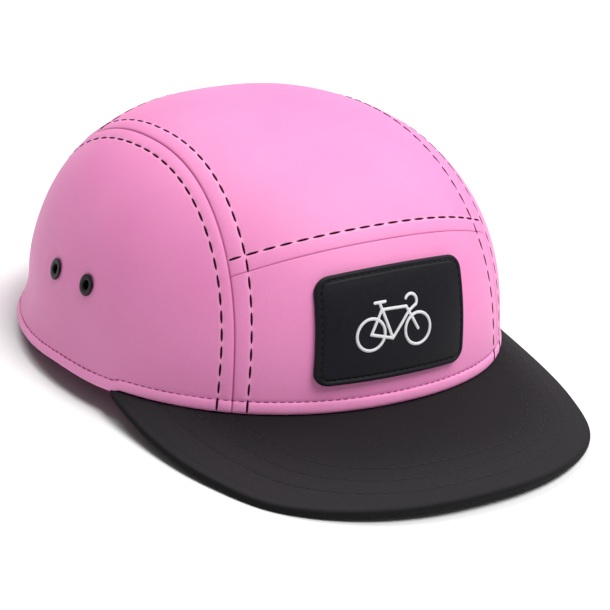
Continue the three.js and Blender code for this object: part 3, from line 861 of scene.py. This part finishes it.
def webbing_finish():
    f = Finish("black_webbing")
    across, up = f.weave_axes()
    picks = f.ripple(f.math("ADD", f.math("ABSOLUTE", up), across), 1.0)
    height = f.math("ADD", f.math("MULTIPLY", f.ripple(up, 1.25), 0.7), f.math("MULTIPLY", picks, 0.5))
    noise = f.noise(1.0, 3.0)
    level = f.math("MULTIPLY", f.math("ADD", height, 1.2), 0.4, clamp=True)
    base = f.tint(f.mix(level, "#151416", "#2B292D"), noise, 0.3, "#121113")
    normal = f.bump(noise, 100, 0.3, f.bump(height, 160, 0.7))
    return f.done(Base_Color=base, Roughness=0.75, Sheen_Weight=0.2, Normal=normal)


def clasp_finish():
    f = Finish("black_moulded_plastic")
    grain = f.noise(3.0, 4.0)
    base = f.mix(f.noise(0.1, 2.0), "#1B1B1F", "#232327")
    return f.done(Base_Color=base, Roughness=f.spread(grain, 0.34, 0.2), Normal=f.bump(grain, 80, 0.35))


def floor_finish():
    f = Finish("pale_floor")
    return f.done(Base_Color=f.mix(f.noise(0.003, 2.0), "#E4E4E4", "#E7E7E7"), Roughness=0.7)


pink_cloth = pink_cloth_finish()
black_twill = black_twill_finish()
black_leather = black_leather_finish()
plum_thread = thread_finish("plum_thread", "#2E0019", "#4A0632", 0.8)
pink_thread = thread_finish("pink_thread", "#86336A", "#BE5A98")
black_thread = thread_finish("black_thread", "#232227", "#3A393F")
grey_thread = thread_finish("charcoal_thread", "#2E2B2C", "#403C3C")
pale_print = uneven_finish("pale_raised_print", (1.2, 3.0), ("#CCCCD0", "#DADADD"), (0.42, 0.15), 80)
eyelet_metal = uneven_finish(
    "dark_enamelled_metal", (0.8, 4.0), ("#0A080C", "#121014"), (0.32, 0.2), 40,
    [("ring_distance", 0.9, 0.95, "#1A0716")], 0.17,
)
webbing = webbing_finish()
clasp_plastic = clasp_finish()


# Stitches: a Geometry Nodes tree lays one shaped stitch at each even step of a row.

STITCH_INPUTS = {
    "Geometry": "Geometry", "Count": "Int", "Length": "Float", "Width": "Float", "Height": "Float",
    "Bluntness": "Float", "Thread": "Material",
}


def stitch_tree():
    tree = bpy.data.node_groups.new("stitch_row", "GeometryNodeTree")
    for name, kind in STITCH_INPUTS.items():
        tree.interface.new_socket(name, in_out="INPUT", socket_type="NodeSocket" + kind)
    tree.interface.new_socket("Geometry", in_out="OUTPUT", socket_type="NodeSocketGeometry")
    n = Nodes(tree)
    given = n.node("NodeGroupInput").outputs

    def product(a, b):
        return n.math("MULTIPLY", a, b)

    row = n.node("GeometryNodeMeshToCurve", Mesh=given["Geometry"]).outputs[0]
    even = n.node("GeometryNodeResampleCurve", {"mode": "COUNT"}, Curve=row, Count=given["Count"])
    tangent = n.node("GeometryNodeInputTangent").outputs[0]
    outward = n.node("GeometryNodeInputNamedAttribute", {"data_type": "FLOAT_VECTOR"}, Name="outward")
    axes = {"primary_axis": "X", "secondary_axis": "Z"}
    facing = n.node("FunctionNodeAxesToRotation", axes, _0=tangent, _1=outward.outputs[0]).outputs[0]

    ball = n.node("GeometryNodeMeshUVSphere", Segments=8, Rings=9, Radius=1.0).outputs["Mesh"]
    lying = n.node("GeometryNodeTransform", Geometry=ball, Rotation=(0, math.radians(90), 0)).outputs[0]
    place = n.node("GeometryNodeInputPosition").outputs[0]
    x, y, z = n.node("ShaderNodeSeparateXYZ", _0=place).outputs
    from_axis = n.math("MAXIMUM", n.math("SQRT", n.math("ADD", product(y, y), product(z, z))), 0.001)
    fuller = n.math("POWER", from_axis, n.math("SUBTRACT", given["Bluntness"], 1.0))
    longer = product(n.math("SIGN", x), n.math("POWER", n.math("ABSOLUTE", x), given["Bluntness"]))
    parts = ((longer, "Length"), (product(y, fuller), "Width"), (product(z, fuller), "Height"))
    sized = {f"_{k}": product(part, product(given[name], 0.5)) for k, (part, name) in enumerate(parts)}
    spot = n.node("ShaderNodeCombineXYZ", **sized).outputs[0]
    stitch = n.node("GeometryNodeSetPosition", Geometry=lying, Position=spot).outputs[0]

    laid = n.node("GeometryNodeInstanceOnPoints", Points=even.outputs[0], Instance=stitch, Rotation=facing)
    real = n.node("GeometryNodeRealizeInstances", _0=laid.outputs[0]).outputs[0]
    sewn = n.node("GeometryNodeSetMaterial", Geometry=real, Material=given["Thread"]).outputs[0]
    n.node("NodeGroupOutput", _0=sewn)
    return tree


sewing = stitch_tree()
sewing_sockets = {s.name: s.identifier for s in sewing.interface.items_tree if s.in_out == "INPUT"}


def sewn_rows(name, rows, size, look, bluntness=0.6):
    """Rows are pairs of points and outward directions. All their stitches become one piece."""
    pitch, length, width, height = size
    slot_name, thread = look
    whole = bmesh.new()
    for points, outward in rows:
        line = Line(points)
        count = max(2, round(line.length / pitch))
        along = np.linspace(0.5, count - 0.5, 4 * count) * line.length / count
        mesh = bpy.data.meshes.new(name)
        mesh.from_pydata(to_row(line.at(along)).tolist(), [(i, i + 1) for i in range(4 * count - 1)], [])
        set_attribute(mesh, "outward", unit(between(along, line.along, outward) @ CAP_TURN.T))
        row = added(name, mesh)
        modifier = row.modifiers.new("sewing", "NODES")
        modifier.node_group = sewing
        values = {"Count": count, "Bluntness": bluntness, "Thread": thread}
        values.update({"Length": length / 1000, "Width": width / 1000, "Height": height / 1000})
        for key, value in values.items():
            modifier[sewing_sockets[key]] = value
        row.data.update()
        made = settled(row)
        whole.from_mesh(made)
        bpy.data.meshes.remove(made)
    for face in whole.faces:
        face.smooth = True
    mesh = bpy.data.meshes.new(name)
    whole.to_mesh(mesh)
    whole.free()
    dress(added(name, mesh), (), thread)


def row_on_crown(line, lift, uneven=0.0):
    points = line.points
    outward = cloth_normal(points)
    relief, _, _ = crown_relief(points)
    height = relief + lift + uneven * waves(points, (6.3, 12.6), 11)
    return hung(points + outward * height[:, None]), outward


# The peak.

def rim_point(plan):
    return surface_point(direction(plan))


def smooth_curve(places, values, x):
    """A smooth curve through the values. It starts out level."""
    slope = np.gradient(values) / np.gradient(places)
    slope[0] = 0
    first = np.clip(np.searchsorted(places, x, side="right") - 1, 0, len(places) - 2)
    width = places[first + 1] - places[first]
    t = (x - places[first]) / width
    a, b = values[first], values[first + 1]
    p, q = slope[first] * width, slope[first + 1] * width
    return a + t * (p + t * (3 * (b - a) - 2 * p - q + t * (p + q - 2 * (b - a))))


PEAK_EDGE_STEPS = np.array([2.8, 2.2, 1.8, 1.5, 1.25, 1, 0.78, 0.58, 0.4, 0.25, 0.13, 0.05, 0])
PEAK_EDGE_ROUND, PEAK_EDGE_FULLNESS, PEAK_EDGE_THINNEST = 1.5, 2.3, 0.02
# How far past its tips the peak goes on under the hem, as a share, and what its reach loses there.
PEAK_TIP_TUCK, PEAK_TIP_LOSS = 0.02, 1.9
# The rows' distances from the edge, and how much further in they lie at the sides.
PEAK_ROWS, PEAK_ROW_INSET, PEAK_ROW_SPREAD = (8.5, 15, 21.5), 2.2, 0.12
PEAK_GROOVE, PEAK_EDGE_GROOVE, PEAK_EDGE_GROOVE_INSET = (0.13, 0.55), (0.08, 0.7), 3.2
PEAK_UP = (0.0, -0.26, 0.965)
PEAK_THREAD_LIFT, PEAK_THREAD_BELOW = 0.06, 0.35


def peak_piece():
    share = np.linspace(-1 - PEAK_TIP_TUCK, 1 + PEAK_TIP_TUCK, 361)
    plan = share * PEAK_TIP_ANGLE
    step = 1e-3
    along = rim_point(plan + step) - rim_point(plan - step)
    outward = unit(vectors(along[:, 1], -along[:, 0], 0))
    tucked = np.maximum(0, np.abs(share) - 1) / PEAK_TIP_TUCK
    length = smooth_curve(PEAK_SHARES, PEAK_REACHES, np.minimum(np.abs(share), 1)) - PEAK_TIP_LOSS * tucked
    fall = PEAK_FALL + PEAK_SIDE_FALL * share**2

    squeeze = np.minimum(1, length * 0.6 / PEAK_EDGE_STEPS[0])
    edge = PEAK_EDGE_STEPS[:, None] * squeeze
    inner_steps = np.linspace(0, 1, 60)[:-1, None] * (length - edge[0])
    distance = np.vstack([np.full((1, len(share)), -WALL), inner_steps, length - edge])
    to_edge = np.maximum(0, length - distance)
    beyond = np.maximum(0, distance)
    level = np.minimum(0, distance) + beyond * np.cos(fall)
    middle = rim_point(plan)[None] + outward[None] * level[..., None]
    thickness = PEAK_THICKNESS * (1 - PEAK_TIP_THINNESS * np.abs(share) ** 4)
    middle[..., 2] = -GAP - thickness / 2 - beyond * np.sin(fall)
    inset, _ = Line(middle[-1]).measure(middle)
    aside = smooth(0.12, 0.5, np.abs(share))
    row_inset = (inset - PEAK_ROW_INSET * aside) / (1 + PEAK_ROW_SPREAD * aside)
    left = 1 - np.clip(to_edge / (PEAK_EDGE_ROUND * squeeze), 0, 1)
    half = thickness / 2 * np.maximum(rounded(left, PEAK_EDGE_FULLNESS), PEAK_EDGE_THINNEST)
    relief = -sum(hill(row_inset - at, PEAK_GROOVE) for at in PEAK_ROWS) * smooth(0, 3, beyond)
    relief -= hill(inset - PEAK_EDGE_GROOVE_INSET, PEAK_EDGE_GROOVE)
    relief *= smooth(0, 1.5, to_edge) * smooth(0.5, 4, beyond)
    up = (half + relief)[..., None] * np.array([0, 0, 1])
    top, under = middle + up, middle - up
    rows, columns = top.shape[:2]
    points = np.vstack([top.reshape(-1, 3), under.reshape(-1, 3)])
    row_distance = np.min([np.abs(row_inset - at) for at in PEAK_ROWS], axis=0)
    distances = {"row_distance": row_distance, "edge_distance": to_edge}
    attributes = {key: np.tile(values.ravel(), 2) for key, values in distances.items()}
    look = ("black_cloth", black_twill)
    mesh_piece("peak_cover", points, shell_faces(rows, columns), look, ["peak"], attributes)

    sewn = []
    for at in PEAK_ROWS:
        line = []
        for j in range(columns):
            reach = row_inset[1:, j][::-1]
            if reach.max() >= at + 0.6:
                where = np.interp(at, reach, distance[1:, j][::-1])
                line.append(between(where, distance[1:, j], top[1:, j]))
        above = np.array(line) + [0, 0, PEAK_THREAD_LIFT]
        below = np.array(line) - [0, 0, PEAK_THICKNESS - PEAK_THREAD_BELOW + PEAK_THREAD_LIFT]
        outward_up = np.tile(PEAK_UP, (len(line), 1))
        sewn += [(above, outward_up), (below, -outward_up)]
    sewn_rows("peak_stitches", sewn, PEAK_STITCH, ("black_cloth", grey_thread))


# The patch and its sign.

PATCH_HALF_HEIGHT = float(np.linalg.norm(form_point(0, PATCH_LOW) - form_point(0, PATCH_HIGH))) / 2


def on_front(across, up, height):
    """A place on the front, in the patch's own directions, at a height over the panel."""
    x = PATCH_MIDDLE + across + up * math.tan(PATCH_LEAN)
    turn = PATCH_LOW + (PATCH_HIGH - PATCH_LOW) * (up / PATCH_HALF_HEIGHT + 1) / 2
    p = on_crown(x, turn)
    return p + surface_normal(p) * np.broadcast_to(height, np.shape(across))[..., None]


def rounded_rectangle(half_width, half_height, corner, count=224):
    corner = max(corner, 0.4)
    right, top = half_width - corner, half_height - corner
    quarter = np.linspace(0, math.pi / 2, 24)
    arcs = []
    for x, y, start in ((right, top, 0), (-right, top, 0.5), (-right, -top, 1), (right, -top, 1.5)):
        turn = quarter + start * math.pi
        arcs.append(np.stack([x + corner * np.cos(turn), y + corner * np.sin(turn)], -1))
    outline = np.vstack(arcs + [arcs[0][:1]])
    length = np.concatenate([[0], np.cumsum(np.linalg.norm(np.diff(outline, axis=0), axis=1))])
    return between(np.linspace(0, length[-1], count, endpoint=False), length, outline)


def patch_outline(inset, count=224):
    size = (PATCH_HALF_WIDTH - inset, PATCH_HALF_HEIGHT - inset)
    return rounded_rectangle(*size, PATCH_CORNER - inset, count)


PATCH_EDGE_HEIGHT, PATCH_EDGE_ROUND, PATCH_BACK = 0.5, 0.85, GAP * 0.4
PATCH_GROOVE, PATCH_GROOVE_SIZE, PATCH_BORDER, PATCH_FIELD = 2.1, (0.4, 0.38), 0.1, 0.08
PATCH_INSETS = (
    0, 0.03, 0.12, 0.28, 0.5, 0.75, 1, 1.25, 1.5, 1.7, 1.85, 2, 2.15, 2.3, 2.5, 2.8, 3.2, 3.8, 4.6, 5.4,
)
# Rings from the last of the insets to the middle, and their count.
FIELD_STEP, FIELD_RINGS = 0.6, 20


def patch_height(inset):
    """Over the panel: a round edge, a raised border, a sewn groove and the field."""
    left = 1 - np.clip(inset / PATCH_EDGE_ROUND, 0, 1)
    body = PATCH_EDGE_HEIGHT + (PATCH_THICKNESS - PATCH_EDGE_HEIGHT) * rounded(left, 2.2)
    border = PATCH_BORDER * smooth(0.4, 1.0, inset) * (1 - smooth(1.2, 1.9, inset))
    field = PATCH_FIELD * smooth(2.6, 6, inset)
    return GAP + body + border + field - hill(inset - PATCH_GROOVE, PATCH_GROOVE_SIZE)


def patch_piece():
    rings = [patch_outline(inset) for inset in PATCH_INSETS]
    rings += [rings[-1] * share for share in np.linspace(1, 0, FIELD_RINGS + 2)[1:-1]]
    rings = np.array(rings)
    further = PATCH_INSETS[-1] + FIELD_STEP * np.arange(1, FIELD_RINGS + 1)
    insets = np.concatenate([PATCH_INSETS, further])
    face = on_front(rings[..., 0], rings[..., 1], patch_height(insets)[:, None])
    back = on_front(rings[[-1, 0], :, 0], rings[[-1, 0], :, 1], PATCH_BACK)
    grid = np.concatenate([back, face])
    rows, columns = grid.shape[:2]
    ends = [on_front(0.0, 0.0, height) for height in (PATCH_BACK, patch_height(insets[-1]))]
    j = np.arange(columns)
    k, last, centre = (j + 1) % columns, (rows - 1) * columns, np.full(columns, rows * columns)
    fans = np.vstack([np.stack([centre, k, j], 1), np.stack([centre + 1, last + j, last + k], 1)])
    faces = grid_quads(rows, columns, around=True).tolist() + fans.tolist()
    to_rim = np.concatenate([np.repeat(np.concatenate([[9, 0], insets]), columns), [9, 9]])
    attributes = {"rim_distance": to_rim, "groove_distance": np.abs(to_rim - PATCH_GROOVE)}
    points = np.vstack([grid.reshape(-1, 3), ends])
    mesh_piece("patch_leather", points, faces, ("black_leather", black_leather), ["patch"], attributes)

    outline = patch_outline(PATCH_GROOVE, 320)
    outline = np.vstack([outline, outline[:1]])
    points = on_front(outline[:, 0], outline[:, 1], patch_height(PATCH_GROOVE) + PATCH_STITCH_LIFT)
    row = (points, surface_normal(points))
    sewn_rows("patch_stitches", [row], PATCH_STITCH, ("black_leather", black_thread))


# The sign's places are in millimetres from its left wheel's hub, as the cap is seen from in front.
WHEEL_RADIUS, STROKE, SIGN_HEIGHT = 5.5, 1.2, 0.5
SIGN_MIDDLE = np.array([11.7, 3.1])
REAR_HUB, FRONT_HUB, CRANK = (0, 0), (19.7, -0.6), (8.7, -2.4)
SEAT_JOINT, SEAT_TOP, SADDLE_BACK, SADDLE_FRONT = (4.3, 8), (3.7, 10.1), (1.7, 10.6), (5.9, 10.6)
FORK_TOP, DOWN_TUBE_TOP, STEM_TOP = (14.7, 7.7), (15.8, 6), (18.7, 7.7)
HANDLEBAR_MIDDLE, HANDLEBAR_RADIUS, HANDLEBAR_ANGLES = (16.9, 9.2), 2.5, (-38, 150)
SIGN_BARS = [
    (REAR_HUB, CRANK), (REAR_HUB, SEAT_JOINT), (CRANK, SEAT_TOP), (SEAT_JOINT, FORK_TOP),
    (CRANK, DOWN_TUBE_TOP), (FRONT_HUB, FORK_TOP), (DOWN_TUBE_TOP, STEM_TOP), (SADDLE_BACK, SADDLE_FRONT),
]
# Points round a stroke, size of the steps in which the strokes are joined, in metres, and its easing.
STROKE_SIDES, JOINING_STEP, EASING_TURNS = 12, 0.00013, 3


def arc(centre, radius, start, end, count=7):
    t = np.radians(np.linspace(start, end, count))
    return [(centre[0] + radius * math.cos(a), centre[1] + radius * math.sin(a)) for a in t]


def stroke_rings(flat, closed):
    """Rings of points round a stroke with a round top, which narrows to nothing at open ends."""
    flat = np.asarray(flat, float) - SIGN_MIDDLE
    if closed:
        ahead = np.roll(flat, -1, 0) - np.roll(flat, 1, 0)
        widths = np.ones(len(flat))
    else:
        ends = unit(np.gradient(flat, axis=0)[[0, -1]]) * STROKE / 2
        turns = np.linspace(0, math.pi / 2, 6)[1:]
        start = [flat[0] - ends[0] * math.sin(t) for t in turns[::-1]]
        finish = [flat[-1] + ends[1] * math.sin(t) for t in turns]
        widths = np.concatenate([np.cos(turns[::-1]), np.ones(len(flat)), np.cos(turns)])
        widths = np.maximum(widths, 0.06)
        flat = np.vstack([start, flat, finish])
        ahead = np.gradient(flat, axis=0)
    around = np.linspace(0, 2 * math.pi, STROKE_SIDES, endpoint=False)
    across = unit(np.stack([ahead[:, 1], -ahead[:, 0]], -1))
    side = np.cos(around)[None, :, None] * across[:, None, :] * (STROKE / 2 * widths)[:, None, None]
    spots = flat[:, None, :] + side
    height = SIGN_HEIGHT * np.maximum(np.sin(around), -0.25)[None, :] * widths[:, None] ** 0.5
    return on_front(spots[..., 0], spots[..., 1], patch_height(9) - 0.05 + height)


def sign_piece():
    """Strokes, joined into one closed print."""
    strokes = [(arc(hub, WHEEL_RADIUS, 0, 360, 73)[:-1], True) for hub in (REAR_HUB, FRONT_HUB)]
    strokes.append((arc(HANDLEBAR_MIDDLE, HANDLEBAR_RADIUS, *HANDLEBAR_ANGLES, 19), False))
    for start, end in SIGN_BARS:
        strokes.append((np.linspace(start, end, max(3, round(math.dist(start, end) / 0.6))), False))
    points, faces, first = [], [], 0
    for flat, closed in strokes:
        rings = stroke_rings(flat, closed)
        points.append(rings.reshape(-1, 3))
        faces += grid_quads(len(rings), STROKE_SIDES, first, around=True, ring=closed, flip=True).tolist()
        start, first = first, first + len(points[-1])
        if not closed:
            faces.append(list(range(start, start + STROKE_SIDES)))
            faces.append(list(range(first - STROKE_SIDES, first))[::-1])
    mesh = bpy.data.meshes.new("sign_strokes")
    mesh.from_pydata(to_row(np.vstack(points)).tolist(), [], faces)
    face_outwards(mesh)
    blank = added("sign_strokes", mesh)
    joining = blank.modifiers.new("joined", "REMESH")
    joining.mode, joining.voxel_size, joining.use_smooth_shade = "VOXEL", JOINING_STEP, True
    easing = blank.modifiers.new("eased", "SMOOTH")
    easing.iterations, easing.factor = EASING_TURNS, 0.5
    made = settled(blank)
    made.shade_smooth()
    dress(added("patch_sign_print", made), ["patch_sign"], pale_print)


# Eyelets: an eyelet's place under the cloth, its washer's thickness and the radii of its rounds.
EYELET_INSIDE, EYELET_WASHER, EYELET_STEP, EYELET_ROLL = -WALL - 0.5, 0.6, 1.0, 0.35
EYELET_SHOULDER, EYELET_LIP = 0.2, 0.55


def eyelet_profile():
    """Radius and height of a ring that is rolled over the cloth's face, with its washer inside."""
    height = GAP + EYELET_HEIGHT
    low, middle = EYELET_INSIDE - EYELET_WASHER, EYELET_RADIUS - EYELET_STEP
    face = [(EYELET_HOLE, low), (middle, low)]
    face += arc((middle, EYELET_INSIDE - EYELET_WASHER / 2), EYELET_WASHER / 2, -90, 90)
    face += [(EYELET_BARREL, EYELET_INSIDE), (EYELET_BARREL, 0.1)]
    face += arc((EYELET_RADIUS - EYELET_ROLL, 0.4), EYELET_ROLL, -90, 70)
    face += arc((middle, height - EYELET_SHOULDER), EYELET_SHOULDER, 75, 90, 3)
    face += arc((EYELET_HOLE + EYELET_LIP, height - EYELET_LIP), EYELET_LIP, 90, 180, 9)
    return np.array(face)


def eyelet_piece(name, towards):
    profile = eyelet_profile()
    rows, columns = len(profile), 64
    turn = np.linspace(0, 2 * math.pi, columns, endpoint=False)
    centre, axis = (found(towards[None])[0] for found in (surface_point, surface_normal))
    axis = unit(axis - EYELET_SLANT * backward(axis))
    first = unit(np.cross(axis, [0, 0, 1]))
    spoke = np.cos(turn)[:, None] * first + np.sin(turn)[:, None] * np.cross(axis, first)
    points = (centre + profile[:, :1, None] * spoke[None] + profile[:, 1:, None] * axis).reshape(-1, 3)
    to_rim = np.where(profile[:, 1] > -0.5, EYELET_RADIUS - profile[:, 0], 5)
    attributes = {"ring_distance": np.repeat(to_rim, columns)}
    faces = grid_quads(rows, columns, around=True, ring=True)
    look = ("dark_metal", eyelet_metal)
    face_outwards(mesh_piece(name + "_ring", points, faces, look, [name], attributes))


# Strap and clasp.

def band_point(across, up, depth):
    """A place on the back, at a depth under the face of the form."""
    p = vectors(across, BACK_REACH, up)
    return surface_point(p) - surface_normal(p) * depth[..., None]


def swept_points(across, sections):
    """Closed sections of (up, depth) points, carried across the back."""
    return np.stack([band_point(x, section[:, 0], section[:, 1]) for x, section in zip(across, sections)])


STRAP_DEPTH, RIB_PITCH, RIB_DEPTH, STRAP_EDGE = WALL + STRAP_GAP, 1.25, 0.07, 1.2


def strap_piece():
    half = STRAP_THICKNESS / 2
    low, high, middle = STRAP_LOW + half, STRAP_LOW + STRAP_WIDTH - half, STRAP_DEPTH + half
    ribs = np.linspace(low, high, 121)
    depths = half - RIB_DEPTH + RIB_DEPTH * np.abs(np.sin((ribs - STRAP_LOW) * math.pi / RIB_PITCH))
    edge = np.linspace(STRAP_EDGE, -STRAP_EDGE, 7)
    upper = np.stack([high + half * np.cos(edge), middle - half * np.sin(edge)], -1)
    lower = np.stack([low - half * np.cos(edge), middle + half * np.sin(edge)], -1)
    outer, inner = np.stack([ribs, middle - depths], -1), np.stack([ribs, middle + depths], -1)[::-1]
    section = np.vstack([outer, upper, inner, lower])
    across = np.linspace(STRAP_HALF_LENGTH, -STRAP_HALF_LENGTH, 160)
    grid = swept_points(across, [section] * len(across))
    rows, columns = grid.shape[:2]
    faces = grid_quads(rows, columns, around=True).tolist()
    faces += [list(range(columns))[::-1], list(range((rows - 1) * columns, rows * columns))]
    ups = section[:, 0] - STRAP_LOW - STRAP_WIDTH / 2
    weave = vectors(across[:, None], ups, 0).reshape(-1, 3)
    look = ("black_webbing", webbing)
    points = grid.reshape(-1, 3)
    face_outwards(mesh_piece("strap_webbing", points, faces, look, ["back_strap"], {"weave": weave}))


CLASP_LIP, CLASP_INNER_LIP = 0.6, 0.3


def clasp_piece():
    """A flat sleeve: its outer skin, its rounded lips and its inner skin, in a ring of sections."""
    middle = np.array([STRAP_LOW + STRAP_WIDTH / 2, STRAP_DEPTH + STRAP_THICKNESS / 2])
    inner, outer = CLASP_CLEARANCE, CLASP_CLEARANCE + CLASP_BORDER
    to_lip, to_inner = CLASP_HALF_WIDTH - CLASP_LIP, CLASP_HALF_WIDTH - CLASP_INNER_LIP
    lip = [(x, outer - CLASP_LIP + y) for x, y in arc((to_lip, 0), CLASP_LIP, 90, 0, 6)]
    profile = [(-to_inner, inner), (-CLASP_HALF_WIDTH, inner)]
    profile += [(-x, extra) for x, extra in lip[::-1]]
    profile += [(x, outer) for x in np.linspace(-to_lip, to_lip, 24)[1:-1]]
    profile += lip + [(CLASP_HALF_WIDTH, inner)]
    profile += [(x, inner) for x in np.linspace(to_inner, -to_lip, 24)]
    sections = []
    for _, extra in profile:
        size = (STRAP_WIDTH / 2 + extra, STRAP_THICKNESS / 2 + extra)
        sections.append(rounded_rectangle(*size, min(0.4 + extra, size[1] - 0.05), 160) + middle)
    grid = swept_points([x for x, _ in profile], sections)
    faces = grid_quads(*grid.shape[:2], around=True, ring=True)
    look = ("black_plastic", clasp_plastic)
    face_outwards(mesh_piece("clasp_sleeve", grid.reshape(-1, 3), faces, look, ["strap_clasp"]))


# Everything, in the order of sewing.

front_end, top_end = length_at(FRONT_SEAM), length_at(BACK_SEAM)
grids = {
    "front": strip_panel_grid(0, front_end, HEM_STEPS, FRONT_ACROSS),
    "top": strip_panel_grid(front_end, top_end, SEAM_STEPS, TOP_ACROSS),
    "back": back_panel_grid(),
}
for panel, grid in grids.items():
    cloth_panel(f"{panel}_panel_cloth", grid, [f"{panel}_panel"])
for side_name, side in (("right", -1), ("left", 1)):
    holes = {name: direction(side * plan, up) for name, (plan, up) in EYELETS.items()}
    side_panel = f"side_panel_{side_name}"
    cloth_panel(f"{side_panel}_cloth", side_panel_grid(side), [side_panel], holes.values())
    for place_name, hole in holes.items():
        eyelet_piece(f"eyelet_{side_name}_{place_name}", hole)

right_rows = [Line(mirrored(line.points)) for line in (side_row_outer, side_row_inner)]
crown_lines = [side_row_outer, left_row_inner, *right_rows, front_row, back_row]
crown_rows = [row_on_crown(line, TOPSTITCH_LIFT) for line in crown_lines]
sewn_rows("topstitches", crown_rows, TOPSTITCH, ("pink_cloth", plum_thread), 0.85)
hem_rows = [row_on_crown(line, HEM_STITCH_LIFT, HEM_STITCH_UNEVENNESS) for line in (hem_row, arch_row)]
sewn_rows("hem_stitches", hem_rows, HEM_STITCH, ("pink_cloth", pink_thread))
peak_piece()
patch_piece()
sign_piece()
strap_piece()
clasp_piece()


# Floor, light and camera.

FLOOR_REACH = 12


def build_floor():
    mesh = bpy.data.meshes.new("floor")
    corners = [(x * FLOOR_REACH, y * FLOOR_REACH, 0) for x, y in ((-1, -1), (1, -1), (1, 1), (-1, 1))]
    mesh.from_pydata(corners, [], [(0, 1, 2, 3)])
    floor = added("floor", mesh)
    mesh.materials.append(floor_finish())


# The camera was fitted to the photo: its place from a point 40 mm above the rim plane's middle.
CAMERA_TURN, CAMERA_RISE, CAMERA_ROLL = (math.radians(a) for a in (-35.26677, 19.89447, 3.0))
CAMERA_AIM, CAMERA_DISTANCE, CAMERA_ACROSS, CAMERA_UP = np.array([0, 0, 40]), 900, -16.7183, 31.4832
FOCAL_PIXELS, FRAME_PIXELS = 2332.75, 610


def build_camera():
    data = bpy.data.cameras.new("camera")
    data.sensor_width = 36
    data.lens = FOCAL_PIXELS / FRAME_PIXELS * data.sensor_width
    data.clip_start, data.clip_end = 0.05, 40
    camera = added("camera", data)
    away = direction(CAMERA_TURN, CAMERA_RISE)
    level = direction(CAMERA_TURN + math.pi / 2)
    upright = np.cross(away, level)
    across = math.cos(CAMERA_ROLL) * level + math.sin(CAMERA_ROLL) * upright
    up = -math.sin(CAMERA_ROLL) * level + math.cos(CAMERA_ROLL) * upright
    eye = CAMERA_AIM + CAMERA_DISTANCE * away - CAMERA_ACROSS * across - CAMERA_UP * up
    placed = np.eye(4)
    placed[:3, :3] = CAP_TURN @ np.stack([across, up, away], 1)
    placed[:3, 3] = to_row(eye)
    camera.matrix_world = Matrix(placed.tolist())
    bpy.context.scene.camera = camera


# Turn from the camera's side to its right, height, both in degrees, and strength. Far lights as wide as
# large lamps close by, so that the floor is evenly lit.
STUDIO_LIGHTS = [("front_right", 60, 60, 3.03), ("right", 120, 40, 1.04), ("behind_left", -150, 60, 1.63)]
LIGHT_WIDTH, LIGHT_PLACE, WORLD_STRENGTH = math.radians(31), 2, 0.17


def build_light():
    world = bpy.data.worlds.new("studio")
    world.use_nodes = True
    ground = next(n for n in world.node_tree.nodes if n.type == "BACKGROUND")
    ground.inputs["Color"].default_value = (1, 1, 1, 1)
    ground.inputs["Strength"].default_value = WORLD_STRENGTH
    bpy.context.scene.world = world
    for name, turn, height, strength in STUDIO_LIGHTS:
        data = bpy.data.lights.new(name, "SUN")
        data.angle, data.energy = LIGHT_WIDTH, strength
        towards = CAP_TURN @ direction(CAMERA_TURN + math.radians(turn), math.radians(height))
        aside, above = np.linalg.svd(towards[None])[2][1:]
        if np.cross(aside, above) @ towards < 0:
            aside = -aside
        turned = Matrix(np.stack([aside, above, towards], 1).tolist()).to_4x4()
        added(name, data).matrix_world = Matrix.Translation((towards * LIGHT_PLACE).tolist()) @ turned


build_floor()
build_camera()
build_light()
bpy.context.scene.view_settings.view_transform = "Standard"
